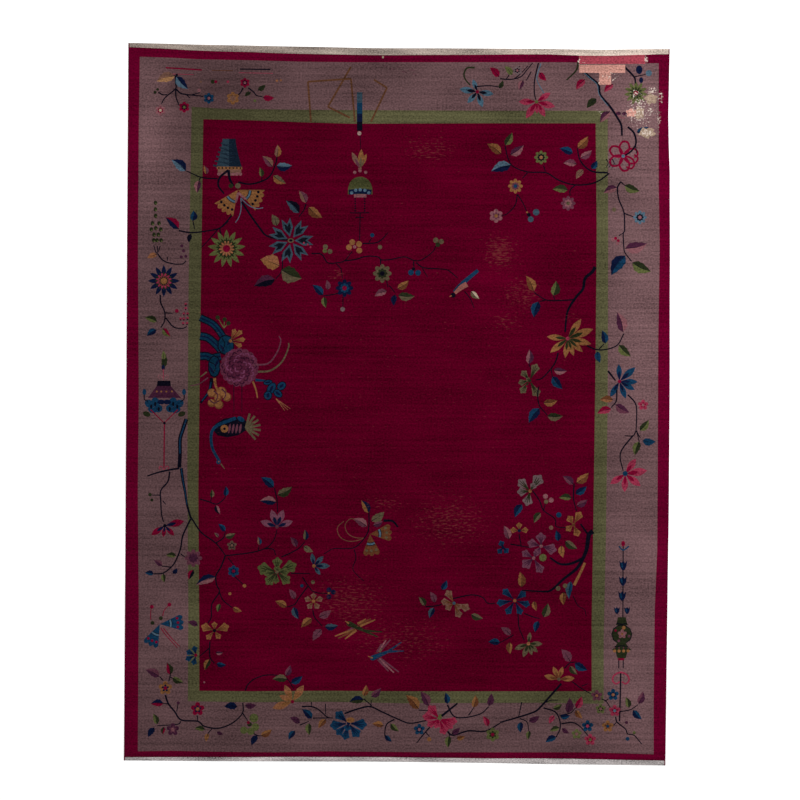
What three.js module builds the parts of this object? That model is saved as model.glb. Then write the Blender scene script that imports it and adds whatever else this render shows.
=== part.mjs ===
// A room-size hand-knotted Chinese wool rug of the 1920s or 1930s, lying flat on the floor.
// It is one piece of cloth: the cotton warps run from end to end, the wool pile is knotted on
// them, and past the pile each end is finished with a narrow flat-woven cotton web.
// Millimetres, +Z up. The origin is on the floor under the middle of the rug's box.
import * as THREE from "three";

// Driving dimensions
const WIDTH = 2720; // across the rug, between its widest points
const LENGTH = 3590; // along the warps, webs included
const PILE_TOP = 10; // floor to the tips of the pile
const WEB_THICK = 3; // the flat-woven ends, which have no pile
const SELVEDGE_THICK = 4.5; // the overcast side cord, at the very edge
const PILE_ROUND = 9; // how far in from an edge the pile reaches its full height
const COLUMN_PITCH = 150; // between the sections across the width
const ROW_PITCH = 150; // between the sections along the length

// A hand-woven rug is never square. Each table gives, at stations along one side, how far that
// side lies in from the rug's box.
const LEFT_SIDE = [
  { y: -1795, inset: 6 },
  { y: -900, inset: 5 },
  { y: 0, inset: 3 },
  { y: 900, inset: 1 },
  { y: 1795, inset: 0 },
];
const RIGHT_SIDE = [
  { y: -1795, inset: 7 },
  { y: -1400, inset: 5 },
  { y: -1000, inset: 3 },
  { y: -480, inset: 0 },
  { y: 0, inset: 0 },
  { y: 700, inset: 4 },
  { y: 1130, inset: 8 },
  { y: 1430, inset: 18 },
  { y: 1795, inset: 14 },
];
const LOWER_END = [
  { x: -1360, inset: 4, web: 16 },
  { x: -900, inset: 4, web: 19 },
  { x: -400, inset: 6, web: 22 },
  { x: -100, inset: 8, web: 22 },
  { x: 400, inset: 6, web: 22 },
  { x: 800, inset: 2, web: 28 },
  { x: 1360, inset: 0, web: 24 },
];
const UPPER_END = [
  { x: -1360, inset: 0, web: 21 },
  { x: -900, inset: 7, web: 31 },
  { x: -450, inset: 12, web: 36 },
  { x: -120, inset: 16, web: 35 },
  { x: 300, inset: 14, web: 32 },
  { x: 700, inset: 13, web: 27 },
  { x: 1000, inset: 15, web: 31 },
  { x: 1360, inset: 8, web: 26 },
];

// The value of one column of a table at a place between its stations, easing from row to row.
function between(table, key, place, column) {
  const next = table.findIndex((row) => row[key] >= place);
  if (next === 0) return table[0][column];
  if (next === -1) return table[table.length - 1][column];
  const [from, to] = [table[next - 1], table[next]];
  const share = THREE.MathUtils.smoothstep(place, from[key], to[key]);
  return THREE.MathUtils.lerp(from[column], to[column], share);
}

// Distances in from an edge at which the rounded rim of the pile is sectioned, closest together
// where the rim is steepest.
const RIM_SHARES = [0, 0.12, 0.4, 1];
const RIM_STEPS = RIM_SHARES.map((share) => share * PILE_ROUND);

// The height of a rounded rim that starts at low and is full at PILE_ROUND.
function rimHeight(low, distance) {
  const share = THREE.MathUtils.clamp(distance / PILE_ROUND, 0, 1);
  return low + (PILE_TOP - low) * Math.sqrt(1 - (1 - share) ** 2);
}

// Stations from one end of a span to the other: the rim's steps, then even steps between them.
function stations(span, rim, pitch) {
  const last = rim[rim.length - 1];
  const count = Math.round((span - 2 * last) / pitch);
  const inner = Array.from({ length: count - 1 }, (_, i) => last + ((i + 1) * (span - 2 * last)) / count);
  return [...rim, ...inner, ...rim.map((d) => span - d).reverse()];
}

// The sections across are the same in every row. Along the length, one more section at each end
// is the web's outer edge, and the pile's rim starts at the inner edge of the web.
const COLUMNS = stations(WIDTH, RIM_STEPS, COLUMN_PITCH);
const PILE_ROWS = stations(LENGTH, RIM_STEPS, ROW_PITCH);
const ROW_COUNT = PILE_ROWS.length + 2;

// Where column and row of the grid lie, and how high the cloth stands there.
function sectionPoint(column, row) {
  const across = COLUMNS[column] / WIDTH;
  const plainX = COLUMNS[column] - WIDTH / 2;
  const lower = -LENGTH / 2 + between(LOWER_END, "x", plainX, "inset");
  const upper = LENGTH / 2 - between(UPPER_END, "x", plainX, "inset");
  const pileLower = lower + between(LOWER_END, "x", plainX, "web");
  const pileUpper = upper - between(UPPER_END, "x", plainX, "web");

  let y, fromEnd;
  if (row === 0 || row === ROW_COUNT - 1) {
    y = row === 0 ? lower : upper;
    fromEnd = 0;
  } else {
    const along = PILE_ROWS[row - 1];
    const squeeze = (pileUpper - pileLower) / LENGTH;
    y = pileLower + along * squeeze;
    fromEnd = Math.min(along, LENGTH - along);
  }

  const left = -WIDTH / 2 + between(LEFT_SIDE, "y", y, "inset");
  const right = WIDTH / 2 - between(RIGHT_SIDE, "y", y, "inset");
  const x = THREE.MathUtils.lerp(left, right, across);
  const fromSide = Math.min(COLUMNS[column], WIDTH - COLUMNS[column]);
  const height = Math.min(rimHeight(SELVEDGE_THICK, fromSide), rimHeight(WEB_THICK, fromEnd));
  return { x, y, height };
}

// The cloth as one slab: a box with a face for each cell of the grid, its points moved to the
// sections. The underside stays flat on the floor.
function rugCloth() {
  const columnCells = COLUMNS.length - 1;
  const rowCells = ROW_COUNT - 1;
  const slab = new THREE.BoxGeometry(1, 1, 1, columnCells, rowCells, 1);
  const points = slab.getAttribute("position");
  for (let i = 0; i < points.count; i++) {
    const column = Math.round((points.getX(i) + 0.5) * columnCells);
    const row = Math.round((points.getY(i) + 0.5) * rowCells);
    const { x, y, height } = sectionPoint(column, row);
    points.setXYZ(i, x, y, points.getZ(i) > 0 ? height : 0);
  }
  slab.computeVertexNormals();
  return slab;
}

const crimsonWool = new THREE.MeshStandardMaterial({ color: 0x560a24, roughness: 0.95, metalness: 0 });

const rug = new THREE.Mesh(rugCloth(), crimsonWool);
rug.name = "rug";

const part = new THREE.Group();
part.add(rug);

export default part;
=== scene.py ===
"""A room-size Chinese rug of the 1920s or 1930s, knotted in wool on cotton, lying on a pale floor.

Metres, in the frame's own axes: +X across the rug, +Y along its warps, +Z up out of the pile.
"""

import math

import bpy
import numpy as np
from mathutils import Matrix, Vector
from mathutils.geometry import delaunay_2d_cdt


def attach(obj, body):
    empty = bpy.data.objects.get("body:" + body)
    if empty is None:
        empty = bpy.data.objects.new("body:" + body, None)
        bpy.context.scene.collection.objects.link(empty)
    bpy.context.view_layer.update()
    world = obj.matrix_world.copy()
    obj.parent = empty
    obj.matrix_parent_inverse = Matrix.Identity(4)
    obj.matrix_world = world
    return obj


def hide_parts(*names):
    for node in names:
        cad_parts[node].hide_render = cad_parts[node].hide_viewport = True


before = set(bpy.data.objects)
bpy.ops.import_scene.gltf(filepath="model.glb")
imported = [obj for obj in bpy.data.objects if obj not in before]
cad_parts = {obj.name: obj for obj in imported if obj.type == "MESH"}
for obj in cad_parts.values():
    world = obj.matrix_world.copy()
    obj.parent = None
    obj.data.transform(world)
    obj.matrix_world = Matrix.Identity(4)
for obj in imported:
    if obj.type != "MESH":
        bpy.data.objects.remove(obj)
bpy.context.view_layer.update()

# The cloth on the loom
# One cloth of cotton warps and wefts. The weaver's tension changes from day to day, so no side is
# straight: the edges, and the lines where the pile starts, are those of the frame's own solid.
PILE_TOP = 0.010
WEB_THICK = 0.003
EDGE_SEARCH = 0.030
EDGE_STEP = 0.020
LEVEL_SLACK = 0.0002
cloth = np.array([vertex.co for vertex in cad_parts["rug"].data.vertices])


def edge_line(points, axis, outward):
    """Stations along one side and how far out the points reach at each, ready for np.interp."""
    lengthwise = 1 - axis
    station = np.round(points[:, lengthwise] / EDGE_STEP)
    rows = [points[station == value] for value in np.unique(station)]
    farthest = [row[np.argmax(outward * row[:, axis])] for row in rows]
    return [point[lengthwise] for point in farthest], [point[axis] for point in farthest]


def outer_edge(axis, outward):
    """The cloth's edge on one side."""
    reach = outward * cloth[:, axis]
    return edge_line(cloth[reach > reach.max() - EDGE_SEARCH], axis, outward)


def pile_start(outward):
    """The line across one end where the flat web stops and the pile starts."""
    level = np.abs(cloth[:, 2] - WEB_THICK) < LEVEL_SLACK
    return edge_line(cloth[level & (outward * cloth[:, 1] > 0)], 1, -outward)


LEFT, RIGHT = outer_edge(0, -1), outer_edge(0, 1)
LOWER, UPPER = outer_edge(1, -1), outer_edge(1, 1)
PILE_LOWER, PILE_UPPER = pile_start(-1), pile_start(1)

# The cartoon
# The weaver works from a squared drawing. Every place below is counted in its squares, 5 mm each,
# to the right and down. The drawing is turned a little on the finished cloth.
SQUARE = 0.005
CARTOON_SQUARES = 800
CARTOON_MIDDLE = (397.64, 404.15)
CARTOON_TURN = math.radians(0.458)


def on_rug(points):
    """Cartoon squares to metres on the rug."""
    right, down = (np.asarray(points, float) - CARTOON_MIDDLE).T
    cosine, sine = math.cos(CARTOON_TURN), math.sin(CARTOON_TURN)
    return SQUARE * np.column_stack((right * cosine + down * sine, right * sine - down * cosine))


# The ground: guard stripe, border, green stripe and field
# Each colour is wool dyed in a batch and knotted row by row. Areas are listed in the order they
# are laid, each one over those before it.
GUARD = "550220"
MAUVE = "563f41"
STRIPE = "43412c"
FIELD = "4a0018"
areas = []


def knot(points, dye):
    """Lays one area of a dye over what is there. The points go round it, in cartoon squares."""
    areas.append((np.asarray(points, float), dye))


# Sides are (x, y) from top to bottom, ends are (x, y) from left to right.
BORDER_LEFT = [(140, 57), (139, 130), (138.2, 250), (139, 400), (138, 490), (139, 610), (138, 751)]
BORDER_RIGHT = [(658.5, 63.5), (658.5, 190), (659.5, 250), (658, 340), (657.5, 460), (657, 550),
                (654.5, 610), (653.5, 700), (653.5, 754)]
BORDER_TOP = [(171, 58), (197, 59.5), (249, 60.5), (301, 62), (353, 62.5), (561, 62.5)]
BORDER_BOTTOM = [(171, 750.5), (223, 751.5), (275, 752), (327, 751), (431, 752), (587, 752)]
STRIPE_LEFT = [(191.8, 107), (190.5, 190), (188.8, 280), (187.5, 460), (188.5, 610), (188, 701)]
STRIPE_RIGHT = [(607.5, 111), (608, 235), (607.5, 400), (605.8, 535), (603.5, 640), (603.5, 703.5)]
STRIPE_TOP = [(223, 109), (300, 110), (380, 110.5), (500, 111)]
STRIPE_BOTTOM = [(250, 702), (327, 701.5), (405, 703), (535, 702.5)]
FIELD_LEFT = [(203.5, 119.5), (202.5, 190), (200.5, 330), (198.5, 490), (199.5, 640), (199.5, 690.5)]
FIELD_RIGHT = [(595.5, 123.5), (596.5, 230), (595.5, 350), (593.5, 500), (591.5, 620), (591.5, 691)]
FIELD_TOP = [(249, 120.5), (301, 122.5), (353, 124), (500, 123.5)]
FIELD_BOTTOM = [(249, 691), (327, 690.5), (405, 691), (520, 691)]
BEYOND = 30

FIRST, LAST = -BEYOND, CARTOON_SQUARES + BEYOND
knot([(FIRST, FIRST), (LAST, FIRST), (LAST, LAST), (FIRST, LAST)], GUARD)
for left, right, top, bottom, dye in [
    (BORDER_LEFT, BORDER_RIGHT, BORDER_TOP, BORDER_BOTTOM, MAUVE),
    (STRIPE_LEFT, STRIPE_RIGHT, STRIPE_TOP, STRIPE_BOTTOM, STRIPE),
    (FIELD_LEFT, FIELD_RIGHT, FIELD_TOP, FIELD_BOTTOM, FIELD),
]:
    knot(left + bottom + right[::-1] + top[::-1], dye)

# Stems
# Drawn in a few strokes of near-black wool, one to five knots wide and thinner towards the tip.
INK = "0a0914"
STEPS_PER_STROKE = 4


def smooth(route):
    """A smooth line through the route's points."""
    route = np.asarray(route, float)
    padded = np.vstack((2 * route[0] - route[1], route, 2 * route[-1] - route[-2]))
    t = np.linspace(0, 1, STEPS_PER_STROKE, endpoint=False)[:, None]
    runs = []
    for before, start, end, after in zip(padded, padded[1:], padded[2:], padded[3:]):
        bend = 2 * before - 5 * start + 4 * end - after
        twist = 3 * (start - end) + after - before
        runs.append(start + 0.5 * t * ((end - before) + t * (bend + t * twist)))
    return np.vstack(runs + [route[-1:]])


def stem(width, *route, dye=INK, tip=0.7):
    """A stroke along the route, width squares wide at its start and tip times that at its end."""
    line = smooth(route)
    run = np.gradient(line, axis=0)
    side = np.column_stack((-run[:, 1], run[:, 0])) / np.linalg.norm(run, axis=1)[:, None]
    half = 0.5 * width * np.linspace(1, tip, len(line))[:, None] * side
    knot(np.vstack((line + half, (line - half)[::-1])), dye)


# Leaves, blossoms and dots
# The small motifs of the sprays. A leaf is knotted in two tones parted at its midrib, a blossom
# in rounded petals about a ring and a heart, and a lily in pointed petals about a dark root.
NAVY = "0a1129"
BLUE = "0e2b42"
SKY = "405361"
TEAL = "2c3c47"
PURPLE = "36182a"
LILAC = "4e2a36"
PINK = "694247"
ROSE = "78263a"
RED = "600622"
GOLD = "6c472a"
OCHRE = "866142"
BROWN = "502e1c"
ORANGE = "744a32"
GREEN = "1e2214"
LEAF = "474a2a"
OLIVE = "4a4030"
FAWN = "5e4238"
GREY = "564648"
CREAM = "968674"
LEAF_STEPS = 9
LEAF_BEND = 0.07
LEAF_TEETH = 0.14
VEIN_SHARE = 0.6
PETAL_STEPS = 7
OVAL_STEPS = 10
STEM_WEIGHT = 1.2
LOBE_STEPS = 15


def leaf(base_x, base_y, tip_x, tip_y, left, right, plump=0.56):
    """A leaf from its base to its tip, with its left and right dyes and its width over its length."""
    base = np.array((base_x, base_y))
    run = np.array((tip_x, tip_y)) - base
    to_right = np.array((-run[1], run[0]))
    share = np.linspace(0, 1, LEAF_STEPS)
    teeth = 1 - LEAF_TEETH * (np.arange(LEAF_STEPS) % 2)
    rib = base + np.outer(share, run) + LEAF_BEND * np.outer(np.sin(np.pi * share), to_right)
    edge = 0.5 * plump * np.outer(np.sin(np.pi * share ** 0.75) * teeth, to_right)
    knot(np.vstack((rib, (rib - edge)[-2:0:-1])), left)
    knot(np.vstack((rib, (rib + edge)[-2:0:-1])), right)
    stem(0.7, rib[0], rib[int(VEIN_SHARE * LEAF_STEPS)], tip=0.3)


def oval(x, y, half_length, half_width, heading, dye):
    """An oval whose length points along heading, in degrees from the right and upwards."""
    way = np.exp(-1j * math.radians(heading))
    turn = np.linspace(0, 2 * math.pi, OVAL_STEPS, endpoint=False)
    spots = complex(x, y) + way * (half_length * np.cos(turn) - 1j * half_width * np.sin(turn))
    knot(np.column_stack((spots.real, spots.imag)), dye)


def dot(x, y, radius, dye, tall=1.0):
    """A round dot, or an upright oval if tall is over 1."""
    oval(x, y, radius * tall, radius, 90, dye)


def petals(x, y, start, end, half_width, count, dye, first=90.0):
    """A ring of oval petals that reach from start to end away from the middle."""
    for heading in first + np.arange(count) * 360.0 / count:
        middle = (start + end) / 2 * np.exp(-1j * math.radians(heading))
        oval(x + middle.real, y + middle.imag, (end - start) / 2, half_width, heading, dye)


def blossom(x, y, radius, count, petal, ring, heart):
    """A round blossom with count petals."""
    petals(x, y, 0.2 * radius, radius, min(0.36, 2.1 / count) * radius, count, petal)
    petals(x, y, 0.1 * radius, 0.55 * radius, 0.16 * radius, count, ring)
    dot(x, y, 0.26 * radius, heart)


def pointed(x, y, tip_x, tip_y, dye, root, width=0.37):
    """A pointed petal from the middle of its flower to its tip, with a darker root."""
    run = np.array((tip_x - x, tip_y - y))
    to_right = np.array((-run[1], run[0]))
    share = np.linspace(0, 1, PETAL_STEPS)
    for reach, spread, colour in ((1.0, width, dye), (0.6, 0.5 * width, root)):
        line = (x, y) + reach * np.outer(share, run)
        edge = 0.5 * spread * np.outer(np.sin(np.pi * share ** 1.3), to_right)
        knot(np.vstack((line - edge, (line + edge)[-2:0:-1])), colour)


def lily(x, y, dye, root, heart, *tips, width=0.37):
    """A flower of pointed petals, one to each tip."""
    for tip in tips:
        pointed(x, y, *tip, dye, root, width)
    dot(x, y, 1.8, heart)


def lobed(heart_x, heart_y, x, y, radius, dye, root):
    """A broad petal from the flower's heart to a notched rim about x and y, with dark veins."""
    heart, middle = complex(heart_x, heart_y), complex(x, y)
    way = (middle - heart) / abs(middle - heart)
    foot = heart + 0.2 * (middle - heart)
    turn = np.linspace(-0.57, 0.57, LOBE_STEPS) * math.pi
    rim = middle + way * radius * (0.9 + 0.14 * np.cos(4.6 * turn)) * np.exp(1j * turn)
    outline = np.append(rim, foot)
    knot(np.column_stack((outline.real, outline.imag)), dye)
    for turn in (-0.3, 0.0, 0.3):
        end = middle + way * radius * 0.5 * np.exp(1j * math.pi * turn)
        stem(0.32 * radius, (foot.real, foot.imag), (end.real, end.imag), dye=root, tip=0.3)


def torn(x, y, dye, root, *tips):
    """A ragged petal from its flower's middle to several tips, dark inside."""
    heart = complex(x, y)
    points = np.array([complex(*tip) - heart for tip in tips])
    notches = 0.74 * (points[:-1] + points[1:]) / 2
    edge = np.empty(2 * len(points) - 1, complex)
    edge[::2], edge[1::2] = points, notches
    bulge = 0.6 * np.exp(1j * np.sign(np.angle(points[-1] / points[0])) * 0.19)
    outline = np.concatenate(([0.16 * points.mean()], [bulge.conjugate() * points[0]], edge,
                              [bulge * points[-1]]))
    inner = 0.5 * points.mean()
    for share, colour in ((1.0, dye), (0.58, root)):
        petal = heart + inner + share * (outline - inner)
        knot(np.column_stack((petal.real, petal.imag)), colour)


def cluster(heart_x, heart_y, heart, dye, root, *lobes):
    """A full flower of broad petals, each given as x, y and radius, about its heart."""
    for x, y, radius in lobes:
        lobed(heart_x, heart_y, x, y, radius, dye, root)
    dot(heart_x, heart_y, 1.7, heart)


def spray(stems=(), leaves=(), blossoms=(), dots=()):
    """Draws a spray from four tables, in this order. Their columns, in cartoon squares:

    stems: width, then the places along the route;
    leaves: base x, base y, tip x, tip y, left dye, right dye and, if not the usual one, plumpness;
    blossoms: x, y, radius, number of petals, petal dye, ring dye, heart dye;
    dots: x, y, radius, dye and, for an oval, how tall.
    """
    for width, *route in stems:
        stem(STEM_WEIGHT * width, *route)
    for row in leaves:
        leaf(*row)
    for row in blossoms:
        blossom(*row)
    for row in dots:
        dot(*row)


# The upper border, left of the middle
# Two small sprays of round blossoms, knotted in dyed wool as the rest is, with short straight lines
# above them.
for line_dye, line_width, start, end in [
    (RED, 1.5, (166, 68), (202, 70.2)),
    (INK, 1.3, (240, 69.3), (270.5, 69.8)),
    (ROSE, 0.6, (165, 74), (194, 74.9)),
    (ROSE, 0.6, (239, 73), (273, 73.6)),
    (BROWN, 0.7, (212, 70.6), (233, 71)),
]:
    stem(line_width, start, end, dye=line_dye, tip=1.0)
spray(
    stems=[
        (1.3, (175.7, 76), (175.7, 83), (175.7, 89), (165.5, 97.6), (161.7, 104)),
        (1.2, (158.5, 92.5), (163, 95), (167.4, 94.8)),
        (1.3, (175.9, 89), (176.3, 97.6), (179.5, 106)),
        (1.3, (176.5, 89.5), (181.4, 93.8), (191.6, 95.3), (203.7, 96.6)),
        (1.0, (191.6, 95.3), (199.9, 92.8)),
        (1.0, (187, 95.3), (190, 98.2)),
        (1.2, (243.3, 88), (240, 93.8), (235.6, 97)),
        (1.2, (248.4, 88), (254, 92.5), (256.7, 95.7), (262.4, 97)),
    ],
    leaves=[
        (175, 76, 156.6, 81.7, OCHRE, FAWN),
        (176.6, 76.6, 188.4, 89.3, NAVY, SKY),
        (258, 90.6, 265.6, 84.8, GREEN, GREEN),
        (251, 92.5, 244.6, 96.6, GREEN, GREEN),
        (263, 97.5, 274.5, 98, RED, RED),
    ],
    blossoms=[
        (160.6, 110.6, 5.5, 6, PINK, RED, CREAM),
        (184.4, 107.4, 5.5, 6, RED, INK, LEAF),
        (209, 98.5, 5.5, 6, BLUE, NAVY, PINK),
        (245, 83, 5, 6, RED, INK, PINK),
        (233, 98.5, 6.5, 6, GOLD, FAWN, FAWN),
    ],
    dots=[
        (177, 75.3, 1.3, INK), (155.3, 92.5, 1.6, GREEN), (157.8, 89.7, 1.4, GREEN),
        (199.3, 90.6, 1.8, PINK),
        (213, 82, 2.2, GREEN), (216, 82, 1.6, RED), (228, 82, 1.4, ROSE), (277, 81, 1.3, ORANGE),
        (281, 80.6, 1.1, ORANGE), (201, 82, 1.2, FAWN), (255, 101, 1.5, LEAF),
    ],
)

# The left border, from the top
# A plant of green dots, a twig that crosses the green stripe into the field, and a plant of red
# dots, with stems one or two knots wide.
DOTTED_PLANT = [(155.8, 203), (155.6, 209.5), (155.8, 216), (152.7, 223.5), (159.3, 223.5),
                (156, 228.3), (151.5, 229.6),
                (161, 229.6), (154.2, 234.7), (158.5, 234.7), (154, 240.4), (157.2, 240.4),
                (161.3, 240.4)]
RED_PLANT = [(185.9, 304.2), (185.9, 308.4), (184, 313.7), (187.8, 313.7), (180.8, 318.8), (184, 318.8),
             (187.8, 318.2), (183.3, 323.3), (187.2, 323.3)]
for x, y in DOTTED_PLANT:
    dot(x, y, 1.9, GREEN, 1.2)
    dot(x + 0.6, y + 1.0, 0.8, LEAF)
for x, y in RED_PLANT:
    dot(x, y, 1.4, ROSE)
    dot(x, y + 1.2, 0.8, INK)
spray(
    stems=[
        (1.4, (178.9, 230.8), (191.6, 232.8), (205, 231.4), (219.7, 228.3), (228.6, 221.3)),
        (1.4, (232.4, 215), (226, 222.6), (219.7, 229)),
        (1.0, (218.4, 229), (210.8, 237.9), (201.8, 247.4)),
        (1.2, (219.7, 229), (222.2, 239)),
        (1.0, (193, 220.7), (194.8, 229)),
        (0.9, (154, 245.5), (156, 252), (157.8, 253.8)),
        (0.9, (157.5, 246), (157.8, 253)),
        (0.9, (160.4, 246), (158.5, 252)),
        (1.2, (157.8, 253.8), (163.6, 260.8), (173.8, 264), (182.7, 264), (186.5, 260.8)),
        (0.9, (168, 257), (167.4, 260.8)),
        (1.4, (160.4, 295), (161, 303), (164.8, 311.8), (164.8, 320.8), (161, 327.8)),
        (1.0, (165.5, 313), (172.5, 313.4)),
        (1.2, (166, 318), (173.8, 327), (182.7, 328.4), (187, 326.5)),
    ],
    leaves=[
        (179, 229, 165.7, 217.5, NAVY, RED),
        (193.2, 221, 193.7, 210.6, BLUE, NAVY, 0.75),
        (191, 234, 189, 243, INK, INK),
        (157.2, 254.4, 147.4, 258.3, ORANGE, ORANGE),
        (157.2, 321.4, 145, 317.6, LEAF, GREEN),
        (156.6, 329.7, 147, 336, NAVY, BLUE, 0.6),
        (163, 328.4, 170.6, 336.7, RED, LEAF, 0.6),
    ],
    dots=[
        (182, 246, 1.6, PURPLE), (183.7, 251, 1.6, PURPLE), (181.4, 257, 1.6, PURPLE),
        (186, 256.4, 1.6, PURPLE),
        (177, 311, 2, RED),
    ],
)

# Chrysanthemums
# The largest round flowers of the border and field: a dark ground, a full ring of narrow petals
# in one dye, and inner rings in others.


def chrysanthemum(x, y, radius, count, petal, ground, rings, heart):
    """A full flower. Each ring is (share of the radius, dye); the heart is a dye."""
    dot(x, y, 0.5 * radius, ground)
    for heading in np.arange(count) * 2 * math.pi / count:
        pointed(x, y, x + radius * math.sin(heading), y - radius * math.cos(heading), petal, ground,
                3.4 / count)
    for share, dye in rings:
        petals(x, y, 0.3 * share * radius, share * radius, 1.7 * share * radius / count, count, dye,
               first=75.0)
    dot(x, y, 0.2 * radius, heart)


chrysanthemum(164, 281, 16, 12, NAVY, GREEN, [(0.5, ROSE), (0.34, GREEN)], GOLD)
chrysanthemum(226.7, 248.7, 19, 13, LEAF, GREEN, [(0.5, GREEN), (0.42, ORANGE)], RED)

# The hive and the twigs below it, in the upper left of the field
# A tapering basket, teal where the light falls and nearly black on the other side, on a scalloped
# rim with a row of dots.
HIVE_MIDDLE = 229.2
HIVE_TOP, HIVE_FOOT = 139, 168
TAPER_STEPS = 8
TAPER_POWER = 1.4


def flared(x, top, foot, half_top, half_foot, dye, sides=(-1, 1)):
    """A tapering body about an upright middle line, or one side of it, widening faster lower down."""
    share = np.linspace(0, 1, TAPER_STEPS)
    half = half_top + (half_foot - half_top) * share ** TAPER_POWER
    for side in sides:
        edge = np.column_stack((x + side * half, top + (foot - top) * share))
        knot(np.vstack(([(x, top)], edge, [(x, foot)])), dye)


for side, dye in ((-1, "22303a"), (1, "0f1824")):
    flared(HIVE_MIDDLE, HIVE_TOP, HIVE_FOOT, half_top=6.5, half_foot=13, dye=dye, sides=(side,))
for y in np.arange(143, 166, 4.5):
    stem(1.8, (HIVE_MIDDLE - 0.35 * (y - 120), y), (HIVE_MIDDLE - 4, y + 2), (HIVE_MIDDLE + 3, y + 1),
         dye="1a2630", tip=0.3)
    stem(1.2, (HIVE_MIDDLE - 5, y + 2), (HIVE_MIDDLE + 1, y + 3.6), (HIVE_MIDDLE + 7, y + 1),
         dye="131c28", tip=0.3)
stem(7.0, (218, 171.6), (230, 172.4), (241.4, 171.6), dye=FAWN, tip=1.0)
stem(2.6, (217, 168), (242.4, 168.4), dye=GOLD, tip=1.0)
for x in np.arange(219, 242, 3.6):
    dot(x, 168.2, 0.9, INK)
    dot(x, 174.2, 1.7, PINK)
spray(
    stems=[
        (2.0, (228.6, 170.3), (220.3, 177.3), (218.4, 185.6), (224.2, 193.9)),
        (2.5, (228.6, 170.3), (229.9, 179.2), (233.7, 186.3)),
        (1.2, (217.8, 179), (201.8, 177.7), (186.5, 171)),
        (1.0, (200.5, 178), (199, 181)),
        (1.5, (238.2, 182.4), (250.3, 184.3), (263, 181), (270.7, 175.4), (275.8, 163.9), (277, 157.6)),
        (1.0, (262, 181), (262, 177)),
    ],
    leaves=[
        (186.1, 171, 171.6, 159.8, SKY, NAVY, 0.6),
        (207, 174.5, 204, 165.5, GOLD, LILAC),
        (199.3, 180.5, 197.4, 193.3, PURPLE, PINK),
        (277, 157.6, 277.7, 144.8, FAWN, GOLD),
        (272.6, 167, 262.4, 156.3, LILAC, FAWN),
        (276.5, 166.5, 292.4, 165.8, SKY, NAVY, 0.6),
        (262, 177, 260, 167.5, LEAF, GREEN),
        (273.3, 176, 286, 183.7, OLIVE, GOLD),
    ],
)

# The gold butterfly under the hive
# Two scalloped wings with a row of spots each, a blue inner band, and long curling feelers.
WING_STEPS = 25
SCALLOP = 0.1
SPOT_SHARE = 0.76
BAND_SHARE = 0.46


def along(x, y, heading, reach):
    """The place that far from x and y, with the heading in degrees from the right and upwards."""
    return x + reach * math.cos(math.radians(heading)), y - reach * math.sin(math.radians(heading))


def wing(x, y, length, heading, spread, scallops, dye, spot):
    """A fan-shaped wing with a scalloped rim, a spot in each scallop and a dark-edged blue band."""
    turns = np.linspace(-0.5, 0.5, WING_STEPS)
    reach = length * (1 - SCALLOP + SCALLOP * np.abs(np.cos(math.pi * scallops * turns)))
    knot([(x, y)] + [along(x, y, heading + spread * turn, far) for turn, far in zip(turns, reach)], dye)
    for turn in (np.arange(scallops) + 0.5) / scallops - 0.5:
        dot(*along(x, y, heading + spread * turn, SPOT_SHARE * length), 1.4, spot)
    band = [along(x, y, heading + 0.9 * spread * turn, BAND_SHARE * length) for turn in (-0.5, 0.0,
                                                                                         0.5)]
    stem(3.2, *band, tip=1.0)
    stem(1.8, *band, dye=SKY, tip=1.0)


def curl(width, x, y, heading, length, bend, dye, tip=0.8):
    """A stroke that leaves x and y along heading and curls up by bend degrees, mostly at its end."""
    route = [(x, y)]
    for share in (0.2, 0.4, 0.6, 0.8, 1.0):
        route.append(along(*route[-1], heading + bend * share ** 2, 0.2 * length))
    stem(width, *route, dye=dye, tip=tip)


for heading in (335, 235):
    wing(238, 190, length=27, heading=heading, spread=50, scallops=4, dye=GOLD, spot=INK)
for heading, bend in ((275, -40), (310, 60)):
    curl(1.0, 241, 198, heading, length=26, bend=bend, dye=SKY)
for heading in (320, 255):
    curl(2.4, 238.4, 193, heading, length=10, bend=0, dye=PINK)
for x, radius, dye in [(231, 2.4, GREEN), (238, 2.8, OLIVE)]:
    dot(x, 186, radius, dye)

# The teal peony and its twigs
# A ring of torn petals in teal, each dark at its root, about a small olive heart.
PEONY_X, PEONY_Y = 290.9, 240.6
PEONY_REACH = 23
PEONY_COUNT = 7
TORN_SPREAD = 11
spray(
    stems=[
        (1.8, (242, 202), (250.3, 215), (260.5, 229), (266.9, 236), (281, 239.8), (288.6, 239.8)),
        (1.2, (306, 204), (304, 210), (299, 217)),
        (1.1, (282.2, 254.4), (282.2, 269.7), (275.8, 279.3)),
    ],
    leaves=[
        (277, 226, 272, 214.5, OLIVE, OLIVE, 0.65),
        (299.4, 213, 286, 200.6, TEAL, INK),
        (306.4, 203, 299, 190.7, FAWN, LILAC),
        (308.5, 207.5, 322.5, 218, GOLD, BROWN),
        (279.5, 266, 260.5, 259.5, GOLD, ORANGE, 0.8),
        (281.5, 270, 302, 278.5, GREEN, OLIVE, 0.8),
        (275.2, 279.3, 254, 286.3, INK, PURPLE),
    ],
)
for heading in np.arange(PEONY_COUNT) * 360 / PEONY_COUNT:
    tips = [along(PEONY_X, PEONY_Y, heading + turn, PEONY_REACH) for turn in (-TORN_SPREAD,
                                                                              TORN_SPREAD)]
    torn(PEONY_X, PEONY_Y, TEAL, "0c1018", *tips)
oval(PEONY_X, PEONY_Y, 3.2, 2.4, 0, OLIVE)
oval(PEONY_X, PEONY_Y, 1.8, 1.2, 0, INK)
for x, y in [(304, 243), (308, 244.6), (310.6, 247.4)]:
    dot(x, y, 1.0, ROSE)

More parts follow.
